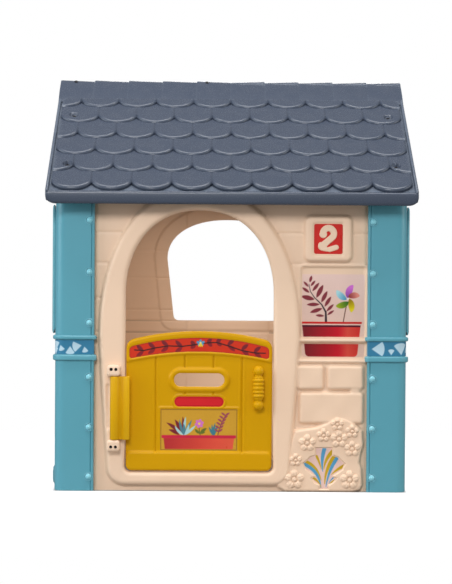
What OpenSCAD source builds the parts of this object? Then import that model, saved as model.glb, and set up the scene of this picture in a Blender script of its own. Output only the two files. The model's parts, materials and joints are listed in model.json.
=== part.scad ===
// Plastic garden playhouse, flat-packed from moulded panels.
// Millimetres. +Z is up, the door side faces -Y, and the origin is on the ground at the middle.

/* [House] */
// Width over the side faces of the corner posts
house_w = 908; // [860:1:1200]
// Depth over the front and back faces of the corner posts
house_d = 784; // [700:1:1000]
// Height of the ridge above the ground
house_h = 1100; // [1060:1:1400]
// Skin thickness of the wall mouldings
wall_skin = 3; // [2.5:0.5:5]
// How far the wall face lies behind the post face
wall_setback = 20; // [19:1:26]
// Height of the front and back walls
wall_h = 800; // [790:1:801]
// Width of the grooves between moulded planks
plank_groove_w = 3; // [2:0.5:5]
// Depth of the grooves between moulded planks
plank_groove_d = 1.5; // [0.5:0.5:2]

/* [Fits] */
// Gap between pieces that are screwed or pinned together
seat_gap = 0.3; // [0.1:0.1:0.5]
// Radial clearance of a hinge pin in the piece that turns on it
hinge_fit = 0.08; // [0.02:0.01:0.1]
// Radial clearance round the shanks of pins and screws that stay put
shank_fit = 0.1; // [0.05:0.05:0.3]
// Gap round the closed door
door_gap = 3; // [2:0.5:5]

/* [Posts] */
// Width of each leg of an L-shaped corner post
post_leg = 102; // [90:1:120]
// Skin thickness of a corner post
post_skin = 3; // [2.5:0.5:5]
// Radius of the outer corner of a post
post_corner_r = 26; // [12:1:40]
// Height of a corner post
post_h = 780; // [760:1:790]
// How far the belt stands proud of the post
belt_raise = 6; // [4:0.5:8]
// Bottom of the belt
belt_z = 335; // [300:1:370]
// Height of the belt's lower bar
belt_low_bar = 16; // [10:1:20]
// Height of the label strip between the bars
belt_strip_h = 38; // [30:1:50]
// Height of the belt's upper bar
belt_high_bar = 12; // [8:1:16]
// Radius of the moulded pad low on a side face
side_pad_r = 24; // [15:1:30]
// How far that pad stands proud
side_pad_raise = 5; // [2:0.5:6]
// Height of that pad's middle
side_pad_z = 37; // [30:1:60]

/* [Post pins] */
// Radius of a pin's domed head
pin_head_r = 7; // [6:0.5:8]
// Height of a pin's domed head
pin_head_h = 3.6; // [2:0.2:4]
// Radius of a pin's shank
pin_shank_r = 4; // [3:0.5:5]
// How far a pin reaches behind the wall skin
pin_tail = 6; // [3:1:8]
// Distance from the post's edge to the row of pins
pin_inset = 13; // [12:0.5:16]

/* [Roof] */
// Distance from the post faces to the eave edge
eave_overhang = 58; // [40:1:80]
// Distance from the post faces to the verge
verge_overhang = 21; // [19:1:40]
// Height of the eave's lower edge
eave_z = 737; // [730:1:738]
// Height of the eave board up to the roof plane
eave_board_h = 27; // [20:1:34]
// Thickness of the eave board
eave_board_t = 14; // [8:1:20]
// Skin thickness of the roof mouldings
roof_skin = 4; // [3:0.5:6]
// Depth of the skirts along the verges, square to the slope
verge_skirt_h = 30; // [20:1:36]
// How far the ridge tiles rise above the roof plane
ridge_rise = 16; // [14:1:20]
// Distance from the ridge to the lower edge of its tiles
ridge_reach = 73; // [60:1:90]
// How far one panel's ridge lip laps over the other panel
ridge_lap = 10; // [9:1:14]
// Thickness of that lip
ridge_lip_t = 5; // [4:0.5:6]
// Number of ridge tiles
ridge_tiles = 10; // [8:2:14]

/* [Shingles] */
// Rows of shingles on each panel
shingle_rows = 6; // [4:1:7]
// Shingles across the eave row
shingles_across = 9; // [7:1:12]
// Plain margin along each verge
verge_margin = 13; // [10:1:20]
// Height of the rib along each verge, square to the slope
verge_rib_h = 9; // [4:1:12]
// Depth of a shingle's round lower edge
lobe_depth = 31; // [20:1:36]
// Thickness of a shingle at its lower edge
shingle_t = 12; // [6:1:13]
// Thickness of a shingle where the next row covers it
shingle_top_t = 2; // [1:0.5:3]

/* [Doorway] */
// Distance from the left post's edge to the middle of the doorway
doorway_from_post = 271; // [266:1:300]
// Width of the doorway
doorway_w = 383; // [340:1:400]
// Height of the sill
sill_z = 49; // [30:1:60]
// Height where the arch starts
doorway_spring_z = 503; // [470:1:520]
// Rise of the arch
doorway_rise = 222; // [200:1:240]
// Half the width of the raised surround at its widest
surround_half_w = 261; // [250:1:263]
// Half the width of the raised surround at its foot
surround_foot_half_w = 239; // [225:1:250]
// Height where the surround is widest
surround_spring_z = 392; // [360:1:410]
// Rise of the surround above that
surround_rise = 393; // [370:1:400]
// Height of the surround's foot
surround_foot_z = 13; // [8:1:20]
// How far the surround stands out from the wall
surround_raise = 18; // [12:1:20]

/* [Door] */
// Height of the door's top edge at its middle
door_top_z = 413; // [405:1:430]
// How far the door's top edge falls at its sides
door_top_fall = 26; // [10:1:40]
// Depth of the door from its face to its rim's back
door_t = 14; // [10:1:18]
// Skin thickness of the door moulding
door_skin = 4; // [3:0.5:6]
// How far the door's face lies behind the surround's face
door_setback = 6; // [4:1:10]
// How far rails and rims stand out from the door's face
door_rim = 3; // [2:0.5:4]
// Height of the door's bottom rail
bottom_rail_h = 50; // [35:1:60]
// Height of the header at the middle of the door
header_h = 61; // [50:1:70]
// Width of the header's upper rim
header_rim = 16; // [10:1:20]
// Width of the hand hole
hand_hole_w = 130; // [100:1:150]
// Height of the hand hole
hand_hole_h = 35; // [30:1:45]
// Height of the hand hole's middle
hand_hole_z = 287; // [280:1:300]
// Width of the ring round the hand hole
hand_ring_w = 13; // [8:1:16]
// Height of the plate label's middle
plate_z = 231; // [226:1:236]
// Width of the plate label
plate_w = 126; // [100:1:140]
// Height of the plate label
plate_h = 25; // [20:1:28]
// Width of the planter label
planter_w = 199; // [180:1:220]
// Height of the planter label
planter_h = 107; // [90:1:110]
// Bottom of the planter label
planter_z = 105; // [104:1:110]
// Width of the raised rim round a label
label_rim = 3; // [2:0.5:5]

/* [Door handle] */
// Distance from the door's free edge to the handle
handle_inset = 36; // [28:1:50]
// Height of the handle's middle
handle_z = 268; // [250:1:285]
// Length of the handle
handle_len = 114; // [100:1:140]
// Radius of the handle's ball ends
handle_ball_r = 11; // [8:1:13]
// Radius of the handle's widest ring
handle_ring_r = 12; // [10:1:14]

/* [Door hinge] */
// Distance from the doorway's edge to the hinge line
hinge_offset = 25; // [22:1:30]
// Distance from the surround's face to the hinge line
hinge_stand = 14; // [13:1:18]
// Radius of the hinge barrel
barrel_r = 12; // [10:0.5:13]
// Bottom of the hinge barrel
barrel_z = 134; // [125:1:150]
// Length of the hinge barrel
barrel_len = 162; // [140:1:180]
// Radius of the hinge pin
hinge_pin_r = 4; // [3:0.5:5]
// How deep the pin sits in each keeper
keeper_socket = 8; // [6:1:9]
// Width of a hinge keeper
keeper_w = 34; // [30:1:40]
// Height of a hinge keeper
keeper_h = 29; // [27:1:34]
// Distance between the two screws of a keeper
keeper_screw_pitch = 12; // [12:1:16]
// How far those screws lie beyond the keeper's middle, away from the barrel
keeper_screw_shift = 3; // [2:0.5:4]

/* [Windows] */
// Half the width of the back window at its widest
back_window_half_w = 183; // [150:1:190]
// Half the width of the back window at its foot
back_window_foot_half_w = 164; // [140:1:175]
// Half the width of a side window at its widest
side_window_half_w = 156; // [130:1:165]
// Half the width of a side window at its foot
side_window_foot_half_w = 142; // [120:1:150]
// Height of the windows' sills
window_sill_z = 420; // [410:1:440]
// Height where the windows are widest
window_spring_z = 606; // [580:1:620]
// Rise of the windows' arches
window_rise = 118; // [90:1:122]
// Width of the raised surround round the back window
back_surround_w = 56; // [40:1:60]
// How far that surround stands out
back_surround_raise = 12; // [6:1:16]
// Width of the raised surround round a side window
side_surround_w = 34; // [28:1:40]
// How far that surround stands out
side_surround_raise = 6; // [4:1:7]
// Width of the raised panel on the back wall
back_panel_w = 260; // [200:1:300]
// How far that panel stands out
back_panel_raise = 6; // [3:1:8]

/* [Shutters] */
// Thickness of a shutter
shutter_t = 9; // [6:1:9]
// How far a closed shutter laps over the window's edge
shutter_lap = 14; // [10:1:20]
// Distance from the post's side face to the hinge line
shutter_line_out = 1; // [0.5:0.5:3]
// Radius of the hinge knuckles
knuckle_r = 4.5; // [4:0.5:5]
// Length of a hinge knuckle
knuckle_len = 20; // [14:1:26]
// Radius of a shutter's hinge pins
shutter_pin_r = 2; // [1.5:0.5:2.5]
// Gap between the two closed shutters
shutter_meet_gap = 2; // [1:0.5:4]

/* [House number] */
// Distance from the right post's edge to the middle of the plinth
plinth_from_post = 102; // [95:1:110]
// Height of the plinth's middle
plinth_z = 653; // [640:1:670]
// Width of the plinth
plinth_w = 125; // [110:1:130]
// Height of the plinth
plinth_h = 120; // [100:1:130]
// How far the plinth stands out from the wall
plinth_raise = 15; // [10:1:18]
// Width of the plinth's red field
number_field_w = 79; // [70:1:90]
// Height of the plinth's red field
number_field_h = 82; // [76:1:90]
// Depth of that field
number_field_d = 5; // [3:1:7]
// How far the numeral stands up in that field
numeral_raise = 3; // [1:0.5:5]
// Width of the numeral's stroke
numeral_stroke = 16; // [12:1:18]

/* [Planter niche] */
// Bottom of the niche
niche_z = 341; // [330:1:350]
// Top of the niche
niche_top_z = 585; // [560:1:590]
// Depth of the niche
niche_d = 5; // [3:1:8]
// Height of each rail across the niche
niche_rail_h = 13; // [8:1:16]
// Height of the upper rail's middle
niche_rail_z = 391; // [380:1:400]
// How far the rails stand out from the wall
niche_rail_raise = 9; // [6:1:12]

/* [Stones and flower bed] */
// How far the stones stand out from the wall
stone_raise = 10; // [6:1:14]
// Width of the joint between stones
stone_joint = 8; // [5:1:10]
// Bottom of the upper course of stones
stone_course_z = 263; // [255:1:270]
// Height of the upper course of stones
stone_course_h = 64; // [50:1:68]
// How far the flower bed stands out from the wall
bed_raise = 14; // [10:1:18]
// How far the flowers stand out from the bed
flower_raise = 3; // [2:0.5:4]
// Depth of the fern-shaped field
fern_field_d = 4; // [2:0.5:6]

/* [Labels and screws] */
// Thickness of every label
label_t = 0.5; // [0.3:0.1:0.8]
// Gap between a label and the edge of its field
label_gap = 1; // [0.5:0.5:2]
// Radius of a screw head
screw_head_r = 5; // [4:0.5:6]
// Height of a screw head
screw_head_h = 3; // [2:0.5:4]
// Radius of a screw shank
screw_shank_r = 2.2; // [1.5:0.1:3]
// Length of a roof screw's shank
roof_screw_len = 24; // [18:1:30]

/* [Hidden] */
$fn = 32;
tiny = 1;
arch_steps = 20;
soft_r = 8;

beige = [0.90, 0.78, 0.66];
teal = [0.36, 0.62, 0.68];
slate = [0.36, 0.42, 0.49];
mustard = [0.75, 0.57, 0.03];
red = [0.80, 0.17, 0.14];
pink = [0.90, 0.80, 0.76];
steel = [0.35, 0.35, 0.37];

// Edges of the wall fields between the posts
front_field = house_w / 2 - post_leg;
side_field = house_d / 2 - post_leg;
rail_reach = 33;
wall_back = wall_setback + wall_skin;

// Heights of the pins in every post
pin_heights = [37, 164, 293, 433, 564, 697];

// Belt on the posts
belt_strip_z = belt_z + belt_low_bar;
belt_high_z = belt_strip_z + belt_strip_h;
belt_top_z = belt_high_z + belt_high_bar;

// Roof planes: roof_top is the sheet's upper face, measured at a distance y from the ridge
roof_run = house_d / 2 + eave_overhang;
roof_w = house_w + 2 * verge_overhang;
roof_base_z = eave_z + eave_board_h;
roof_pitch = atan((house_h - ridge_rise - roof_base_z) / roof_run);
slope_len = roof_run / cos(roof_pitch);
function roof_top(y) = roof_base_z + (roof_run - abs(y)) * tan(roof_pitch);
function roof_under(y) = roof_top(y) - roof_skin / cos(roof_pitch);
ridge_strip_v = slope_len - ridge_reach / cos(roof_pitch);
shingle_margin = 10;
exposure = (ridge_strip_v - shingle_margin - lobe_depth - 8) / (shingle_rows - 1);
lobe_pitch = (roof_w - 2 * verge_margin) / shingles_across;
lobe_r = (pow(lobe_pitch / 2, 2) + pow(lobe_depth, 2)) / (2 * lobe_depth);
roof_screw_x = house_w / 2 - wall_setback - 7;
roof_screw_v = [0.23 * slope_len, 0.685 * slope_len];
roof_pocket_r = screw_head_r + 3;
gable_rim_w = 22;
gable_rim_t = 20;
verge_t = 5;
ridge_tile_w = roof_w / ridge_tiles;
ridge_screw_x = [0.45 * ridge_tile_w, 4.3 * ridge_tile_w];
ridge_screw_y = ridge_lap / 2;
ridge_head_depth = 2;
ridge_screw_len = 12;

// Doorway and door
doorway_x = -front_field + doorway_from_post;
surround_face = wall_setback - surround_raise;
door_face = surround_face + door_setback;
door_half_w = doorway_w / 2 - door_gap;
door_foot_z = sill_z + door_gap;
door_top_r = (pow(door_half_w, 2) + pow(door_top_fall, 2)) / (2 * door_top_fall);
header_low_r = 1.2 * door_top_r;
header_low_z = door_top_z - header_h;
header_label_half_w = door_half_w - 7;
hinge_x = doorway_x - doorway_w / 2 - hinge_offset;
hinge_y = surround_face - hinge_stand;
web_end_x = doorway_x - door_half_w + 10;
web_t = 8;
keeper_x = hinge_x - 3;
keeper_d = hinge_stand + barrel_r - 1;
keeper_low_z = barrel_z - tiny - keeper_h;
keeper_high_z = barrel_z + barrel_len + tiny;
keeper_screw_len = 16;
keeper_head_depth = 8;
function screw_z(z) = z + keeper_h / 2 + sign(z - barrel_z) * keeper_screw_shift;
plank_edges = [-112, -37, 37, 112];
handle_x = doorway_x + door_half_w - handle_inset;
handle_y = door_face - handle_ring_r - 2;

// Shutters: the hinge line stands where a knuckle is flush with the closed and the open shutter
shutter_line = -shutter_line_out;
shutter_half_w = side_window_half_w + shutter_lap;
shutter_line_x = shutter_half_w + knuckle_r + 2;
shutter_low_z = belt_top_z + 3;
shutter_rise = window_rise + shutter_lap;
shutter_edge_gap = 6;
knuckle_heights = [window_sill_z + 24, window_spring_z - 6];

// Right-hand field of the front wall
plinth_x = front_field - plinth_from_post;
field_left = doorway_x + surround_half_w - 6;
niche_mid_x = (field_left + front_field) / 2;
niche_w = front_field - field_left;
number_face = wall_setback - plinth_raise + number_field_d;
niche_face = wall_setback + niche_d;
bed_face = wall_setback - bed_raise;
fern_x = front_field - 109;
fern_z = 58;

// Flower bed outline, measured from the right post's edge and the ground
bed_outline = [
  [-10, 18], [-12, 60], [-18, 75], [-14, 101], [-8, 121], [-11, 156], [-38, 183], [-62, 192],
  [-90, 188], [-103, 178], [-130, 167], [-186, 158], [-204, 99], [-232, 28], [-228, 12],
  [-209, 0], [-35, 0], [-16, 6]
];
// Flowers on the bed: place from the right post's edge, height and size
bed_flowers = [
  [-153, 126, 20], [-111, 146, 16], [-76, 175, 16], [-71, 137, 21], [-37, 157, 16],
  [-37, 112, 19], [-183, 82, 15], [-186, 32, 23], [-43, 31, 22]
];
// Half of the fern-shaped field, from its middle line
fern_half = [
  [0, 57], [19, 57], [19, 36], [35, 31], [51, 16], [46, 0], [21, -16], [32, -22],
  [21, -35], [4, -43], [3, -51], [0, -51]
];

// Puts a flat outline upright, with its face at y_face and its depth towards +Y
module slab(y_face, depth) {
  translate([0, y_face + depth, 0])
    rotate([90, 0, 0])
      linear_extrude(depth)
        children();
}

// A hole along Y
module bore_y(x, z, r, y_from, y_to) {
  translate([x, y_from, z])
    rotate([-90, 0, 0])
      cylinder(r = r, h = y_to - y_from);
}

// Each wall is drawn facing -Y, with y = 0 at the post faces, and then turned into place
module on_front() {
  translate([0, -house_d / 2, 0]) children();
}

module on_back() {
  rotate(180) translate([0, -house_d / 2, 0]) children();
}

module on_left() {
  rotate(-90) translate([0, -house_w / 2, 0]) children();
}

module on_right() {
  rotate(90) translate([0, -house_w / 2, 0]) children();
}

module rounded_box(w, h, r) {
  offset(r) square([w - 2 * r, h - 2 * r], center = true);
}

module stadium(w, h) {
  for (side = [-1, 1]) translate([side * (w - h) / 2, 0]) circle(h / 2);
  square([w - h, h], center = true);
}

// An arched opening: a flattened arch on sides that taper to a foot with round corners
function arch_top(half_w, spring_z, rise, power) = [
  for (i = [0 : arch_steps])
    let (t = 180 * i / arch_steps)
      [half_w * sign(cos(t)) * pow(abs(cos(t)), 2 / power),
       spring_z + rise * pow(abs(sin(t)), 2 / power)]
];
function foot_corner(x, z, r, from) = [
  for (t = [from : 15 : from + 90]) [x + r * cos(t), z + r * sin(t)]
];

module arch_shape(half_w, foot_half_w, spring_z, rise, foot_z, corner_r, power = 2.2) {
  polygon(concat(
    arch_top(half_w, spring_z, rise, power),
    foot_corner(-foot_half_w + corner_r, foot_z + corner_r, corner_r, 180),
    foot_corner(foot_half_w - corner_r, foot_z + corner_r, corner_r, 270)
  ));
}

module doorway_shape() {
  translate([doorway_x, 0])
    arch_shape(doorway_w / 2, doorway_w / 2, doorway_spring_z, doorway_rise, sill_z, 14);
}

module surround_shape() {
  translate([doorway_x, 0])
    arch_shape(surround_half_w, surround_foot_half_w, surround_spring_z, surround_rise,
      surround_foot_z, 48);
}

module back_window_shape() {
  arch_shape(back_window_half_w, back_window_foot_half_w, window_spring_z, window_rise,
    window_sill_z, 16);
}

module side_window_shape() {
  arch_shape(side_window_half_w, side_window_foot_half_w, window_spring_z, window_rise,
    window_sill_z, 16);
}

// The plain sheet of a wall with its plank grooves, and the two rails that the posts cover
module wall_base(field, grooves) {
  difference() {
    union() {
      slab(wall_setback, wall_skin) children();
      for (side = [-1, 1])
        translate([side * (field + (rail_reach + post_skin + seat_gap) / 2), 0, wall_h / 2])
          translate([0, (post_skin + seat_gap + wall_back) / 2, 0])
            cube([rail_reach - post_skin - seat_gap, wall_back - post_skin - seat_gap, wall_h],
              center = true);
    }
    for (side = [-1, 1])
      translate([side * (field + (rail_reach + post_skin + seat_gap) / 2), wall_back, wall_h / 2])
        cube([rail_reach - post_skin - seat_gap - 2 * wall_skin,
          2 * (wall_back - post_skin - seat_gap - wall_skin), wall_h + 2], center = true);
    for (side = [-1, 1], z = pin_heights)
      bore_y(side * (field + pin_inset), z, pin_shank_r + shank_fit, 0, wall_back);
    for (z = grooves)
      translate([0, wall_setback, z])
        cube([2 * field + 2 * post_skin, 2 * plank_groove_d, plank_groove_w], center = true);
  }
}

// A raised field of a moulding, from its face back to the wall's own skin
module raised(height) {
  slab(wall_setback - height, height + wall_skin) children();
}

// The hollow that the same field leaves behind the wall
module hollow(height) {
  slab(wall_setback - height + wall_skin, height + tiny) offset(delta = -wall_skin) children();
}

module straight_sheet(field) {
  translate([-field - rail_reach, 0]) square([2 * (field + rail_reach), wall_h]);
}

// A fat curved stroke from one angle to another
module arc_stroke(r, from, to) {
  difference() {
    circle(r + numeral_stroke / 2);
    circle(r - numeral_stroke / 2);
    polygon(concat([[0, 0]], [for (t = [to : 15 : from + 360]) 90 * [cos(t), sin(t)]]));
  }
}

// The numeral 2: a round head, a slanted neck and a wavy foot
module numeral_shape() {
  head_r = 13;
  translate([0, 13]) {
    arc_stroke(head_r, -45, 180);
    translate([-head_r, 0]) circle(numeral_stroke / 2);
  }
  translate([0, -2]) rotate(45) square([32, numeral_stroke], center = true);
  translate([-13, -21]) circle(numeral_stroke / 2 + 2);
  translate([2, -22]) rotate(-8) square([30, numeral_stroke - 3], center = true);
  translate([18, -17]) circle(numeral_stroke / 2);
}

module number_field() {
  translate([plinth_x, plinth_z]) rounded_box(number_field_w, number_field_h, 5);
}

module placed_numeral(grow) {
  translate([plinth_x, plinth_z]) offset(grow) numeral_shape();
}

module niche_shape() {
  difference() {
    translate([niche_mid_x, (niche_z + niche_top_z) / 2])
      rounded_box(niche_w, niche_top_z - niche_z, 6);
    offset(2) surround_shape();
  }
}

// The two rails across the niche, grown by grow and cut off at the surround
module niche_rails(grow) {
  difference() {
    for (z = [niche_z - niche_rail_h / 2 + 3, niche_rail_z])
      translate([niche_mid_x, z])
        rounded_box(niche_w + 2 * grow, niche_rail_h + 2 * grow, 4 + grow);
    offset(-3) surround_shape();
  }
}

module stones_shape() {
  stones_left = field_left + 3;
  stones_right = front_field - 7;
  split_x = stones_left + 0.385 * (stones_right - stones_left);
  low_top_z = stone_course_z - 5;
  low_h = low_top_z - 175;
  translate([(stones_left + split_x) / 2, stone_course_z + stone_course_h / 2])
    rounded_box(split_x - stones_left, stone_course_h, soft_r);
  translate([(split_x + stone_joint + stones_right) / 2, stone_course_z + stone_course_h / 2])
    rounded_box(stones_right - split_x - stone_joint, stone_course_h, soft_r);
  translate([(stones_left + stones_right) / 2, low_top_z - low_h / 2])
    rounded_box(stones_right - stones_left, low_h, soft_r);
  translate([stones_right - 22, stone_course_z - 1]) rounded_box(27, 18, 3);
}

module bed_shape() {
  translate([front_field, 0]) offset(6) offset(delta = -6) polygon(bed_outline);
}

module flower(size) {
  circle(0.3 * size);
  for (turn = [18 : 72 : 306]) rotate(turn) translate([0.58 * size, 0]) circle(0.37 * size);
}

module flowers_shape() {
  for (f = bed_flowers) translate([front_field + f[0], f[1]]) flower(f[2]);
}

module fern_shape(grow) {
  translate([fern_x, fern_z])
    offset(grow)
      polygon(concat(fern_half, [for (i = [len(fern_half) - 1 : -1 : 0])
        [-fern_half[i][0], fern_half[i][1]]]));
}

module front_wall_mould() {
  difference() {
    union() {
      wall_base(front_field, [410, 498, 588, 667]) straight_sheet(front_field);
      raised(surround_raise) surround_shape();
      raised(plinth_raise)
        translate([plinth_x, plinth_z]) rounded_box(plinth_w, plinth_h, 14);
      raised(stone_raise) stones_shape();
      raised(bed_raise) bed_shape();
      raised(bed_raise + flower_raise) flowers_shape();
      slab(wall_back - tiny, niche_d + tiny) offset(wall_skin) niche_shape();
    }
    slab(-tiny, 2 * wall_back) doorway_shape();
    hollow(surround_raise) difference() {
      surround_shape();
      doorway_shape();
    }
    hollow(plinth_raise - number_field_d)
      translate([plinth_x, plinth_z]) rounded_box(plinth_w, plinth_h, 14);
    hollow(bed_raise - fern_field_d) difference() {
      bed_shape();
      surround_shape();
    }
    slab(wall_setback - plinth_raise - tiny, number_field_d + tiny) number_field();
    slab(bed_face - tiny, fern_field_d + tiny) fern_shape(0);
    slab(wall_setback - tiny, niche_d + tiny) niche_shape();
    for (z = [keeper_low_z, keeper_high_z], side = [-1, 1])
      bore_y(keeper_x + side * keeper_screw_pitch / 2, screw_z(z), screw_shank_r + shank_fit,
        -tiny, wall_back);
  }
}

module front_wall() {
  color(beige)
    on_front() {
      front_wall_mould();
      slab(number_face - numeral_raise, numeral_raise + tiny) placed_numeral(0);
      slab(wall_setback - niche_rail_raise, niche_rail_raise + niche_d + tiny) niche_rails(0);
    }
}

module back_wall() {
  color(beige)
    on_back()
      difference() {
        union() {
          wall_base(front_field, [384, 418, 452, 548, 630]) straight_sheet(front_field);
          raised(back_panel_raise)
            translate([0, wall_h / 2]) rounded_box(back_panel_w, wall_h - 40, 12);
          raised(back_surround_raise) offset(back_surround_w) back_window_shape();
        }
        slab(-tiny, 2 * wall_back) back_window_shape();
        hollow(back_panel_raise)
          translate([0, wall_h / 2]) rounded_box(back_panel_w, wall_h - 40, 12);
        hollow(back_surround_raise) difference() {
          offset(back_surround_w) back_window_shape();
          back_window_shape();
        }
      }
}

// Outline of a gable wall: it fills the field between the posts and follows the roof above them
module gable_outline() {
  reach = side_field + rail_reach;
  brow = house_d / 2 - 12;
  polygon([
    [-reach, 0], [reach, 0], [reach, wall_h - 55], [brow, wall_h - 55],
    [brow, roof_under(brow) - seat_gap], [0, roof_under(0) - seat_gap],
    [-brow, roof_under(brow) - seat_gap], [-brow, wall_h - 55], [-reach, wall_h - 55]
  ]);
}

// The inward rim along the gable's slopes that the roof is screwed to
module gable_rim() {
  brow = house_d / 2 - 12;
  slab(wall_setback, gable_rim_w)
    intersection() {
      gable_outline();
      polygon([
        [-brow, roof_under(brow)], [0, roof_under(0)], [brow, roof_under(brow)],
        [brow, roof_under(brow) - gable_rim_t], [0, roof_under(0) - gable_rim_t],
        [-brow, roof_under(brow) - gable_rim_t]
      ]);
    }
}

// Pilot holes in a gable rim, square to the slopes
module gable_screw_holes() {
  for (side = [0, 180])
    rotate(side)
      translate([0, -roof_run, roof_base_z])
        rotate([roof_pitch, 0, 0])
          for (x = [-1, 1], v = roof_screw_v)
            translate([x * roof_screw_x, v, -roof_screw_len])
              cylinder(r = screw_shank_r + shank_fit, h = roof_screw_len + 2);
}

// Lugs on a side wall that carry the shutters' hinge pins
module shutter_lugs() {
  for (side = [-1, 1], z = knuckle_heights)
    translate([side * shutter_line_x, 0, z]) {
      difference() {
        union() {
          translate([0, shutter_line, 0]) cylinder(r = knuckle_r, h = knuckle_len);
          translate([-knuckle_r, shutter_line, 0])
            cube([2 * knuckle_r, wall_setback + 2 - shutter_line, knuckle_len]);
        }
        translate([0, shutter_line, -tiny])
          cylinder(r = shutter_pin_r + shank_fit, h = knuckle_len + 2 * tiny);
      }
    }
}

module side_wall() {
  difference() {
    union() {
      wall_base(side_field, [384, 418, 498, 588, 667]) gable_outline();
      gable_rim();
      raised(side_surround_raise) offset(side_surround_w) side_window_shape();
    }
    slab(-tiny, 2 * wall_back) side_window_shape();
    hollow(side_surround_raise) difference() {
      offset(side_surround_w) side_window_shape();
      side_window_shape();
    }
  }
  shutter_lugs();
}

module left_wall() {
  color(beige)
    difference() {
      on_left() side_wall();
      gable_screw_holes();
    }
}

module right_wall() {
  color(beige)
    difference() {
      on_right() side_wall();
      gable_screw_holes();
    }
}

// One quadrant with a round outer corner at the origin, grown outwards by grow
module post_quadrant(grow) {
  r = post_corner_r + grow;
  side = post_leg + grow;
  translate([-grow, -grow]) {
    translate([r, r]) circle(r);
    translate([r, 0]) square([side - r, side]);
    translate([0, r]) square([side, side - r]);
  }
}

// The L-shaped section of a post, from one grown outline to another
module post_section(outer, inner) {
  difference() {
    post_quadrant(outer);
    difference() {
      translate([-inner, -inner]) square(2 * post_leg);
      difference() {
        translate([-inner, -inner]) square(post_corner_r + inner);
        translate([post_corner_r, post_corner_r]) circle(post_corner_r + inner);
      }
    }
  }
}

// A post stands with its corner at the origin and its legs along +X and +Y
module post(with_pad) {
  difference() {
    union() {
      linear_extrude(post_h) post_section(0, -post_skin);
      linear_extrude(post_h) {
        translate([post_leg - post_skin, tiny])
          square([post_skin, wall_setback - seat_gap - tiny]);
        translate([tiny, post_leg - post_skin])
          square([wall_setback - seat_gap - tiny, post_skin]);
      }
      translate([0, 0, belt_z]) linear_extrude(belt_low_bar) post_section(belt_raise, -tiny);
      translate([0, 0, belt_high_z]) linear_extrude(belt_high_bar) post_section(belt_raise, -tiny);
      if (with_pad)
        translate([-side_pad_raise, post_leg / 2, side_pad_z])
          rotate([0, 90, 0])
            cylinder(r = side_pad_r, h = side_pad_raise + tiny);
    }
    for (z = pin_heights) {
      bore_y(post_leg - pin_inset, z, pin_shank_r + shank_fit, -belt_raise - tiny, wall_setback);
      translate([0, post_leg - pin_inset, z])
        rotate([0, 90, 0])
          translate([0, 0, -belt_raise - tiny])
            cylinder(r = pin_shank_r + shank_fit, h = wall_setback + belt_raise);
    }
  }
}

// One pin, with its head outwards along -Y
module pin() {
  tail = post_skin + seat_gap + wall_skin + pin_tail;
  dome_r = (pow(pin_head_r, 2) + pow(pin_head_h, 2)) / (2 * pin_head_h);
  rotate([-90, 0, 0]) {
    cylinder(r = pin_shank_r, h = tail);
    intersection() {
      translate([0, 0, dome_r - pin_head_h]) sphere(dome_r);
      translate([0, 0, -pin_head_h]) cylinder(r = pin_head_r, h = pin_head_h);
    }
  }
}

module post_pins() {
  for (z = pin_heights) {
    translate([post_leg - pin_inset, 0, z]) pin();
    translate([0, post_leg - pin_inset, z]) rotate(-90) pin();
  }
}

// Corners are counted by the signs of X and Y
module at_corner(x, y) {
  translate([x * house_w / 2, y * house_d / 2, 0])
    mirror([x > 0 ? 1 : 0, 0, 0])
      mirror([0, y > 0 ? 1 : 0, 0])
        children();
}

module front_left_post() {
  color(teal) at_corner(-1, -1) post(true);
}

module front_right_post() {
  color(teal) at_corner(1, -1) post(false);
}

module back_left_post() {
  color(teal) at_corner(-1, 1) post(false);
}

module back_right_post() {
  color(teal) at_corner(1, 1) post(true);
}

module corner_pins(x, y) {
  color(teal) at_corner(x, y) post_pins();
}

// Draws children in a roof slope's own frame: x along the eave, y up the slope, z square to it
module on_slope() {
  translate([0, -roof_run, roof_base_z]) rotate([roof_pitch, 0, 0]) children();
}

// One row of round-edged shingles, full ones in the middle and halves where the row is shifted
module shingle_row_outline(row) {
  shifted = row % 2;
  low = shingle_margin + row * exposure;
  high = min(low + exposure + lobe_depth + 4, ridge_strip_v + 4);
  intersection() {
    union() {
      for (i = [0 : shingles_across - 1 + shifted])
        translate([(i - (shingles_across - 1 + shifted) / 2) * lobe_pitch, low + lobe_r])
          intersection() {
            circle(lobe_r);
            translate([-lobe_pitch / 2, -lobe_r]) square([lobe_pitch, lobe_depth + 1]);
          }
      translate([-roof_w / 2, low + lobe_depth]) square([roof_w, high - low - lobe_depth]);
    }
    translate([-roof_w / 2 + verge_margin, 0]) square([roof_w - 2 * verge_margin, slope_len]);
  }
}

// The same row, thick at its lower edge and thin where the next row covers it
module shingle_row(row) {
  low = shingle_margin + row * exposure;
  high = low + exposure + lobe_depth + 4;
  intersection() {
    translate([0, 0, -tiny]) linear_extrude(shingle_t + 2 * tiny) shingle_row_outline(row);
    translate([-roof_w / 2, 0, 0])
      rotate([90, 0, 90])
        linear_extrude(roof_w)
          polygon([[low, -tiny], [low, shingle_t], [high, shingle_top_t], [high, -tiny]]);
  }
}

// A strip of roof along X, from its profile in the YZ plane
module along_roof(x_from, x_to) {
  translate([x_from, 0, 0]) rotate([90, 0, 90]) linear_extrude(x_to - x_from) children();
}

module roof_sheet_profile() {
  inner = eave_board_t;
  polygon([
    [-seat_gap / 2, roof_top(0)], [-roof_run, roof_base_z], [-roof_run, eave_z],
    [-roof_run + inner, eave_z], [-roof_run + inner, roof_under(roof_run - inner)],
    [-seat_gap / 2, roof_under(0)]
  ]);
}

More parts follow.
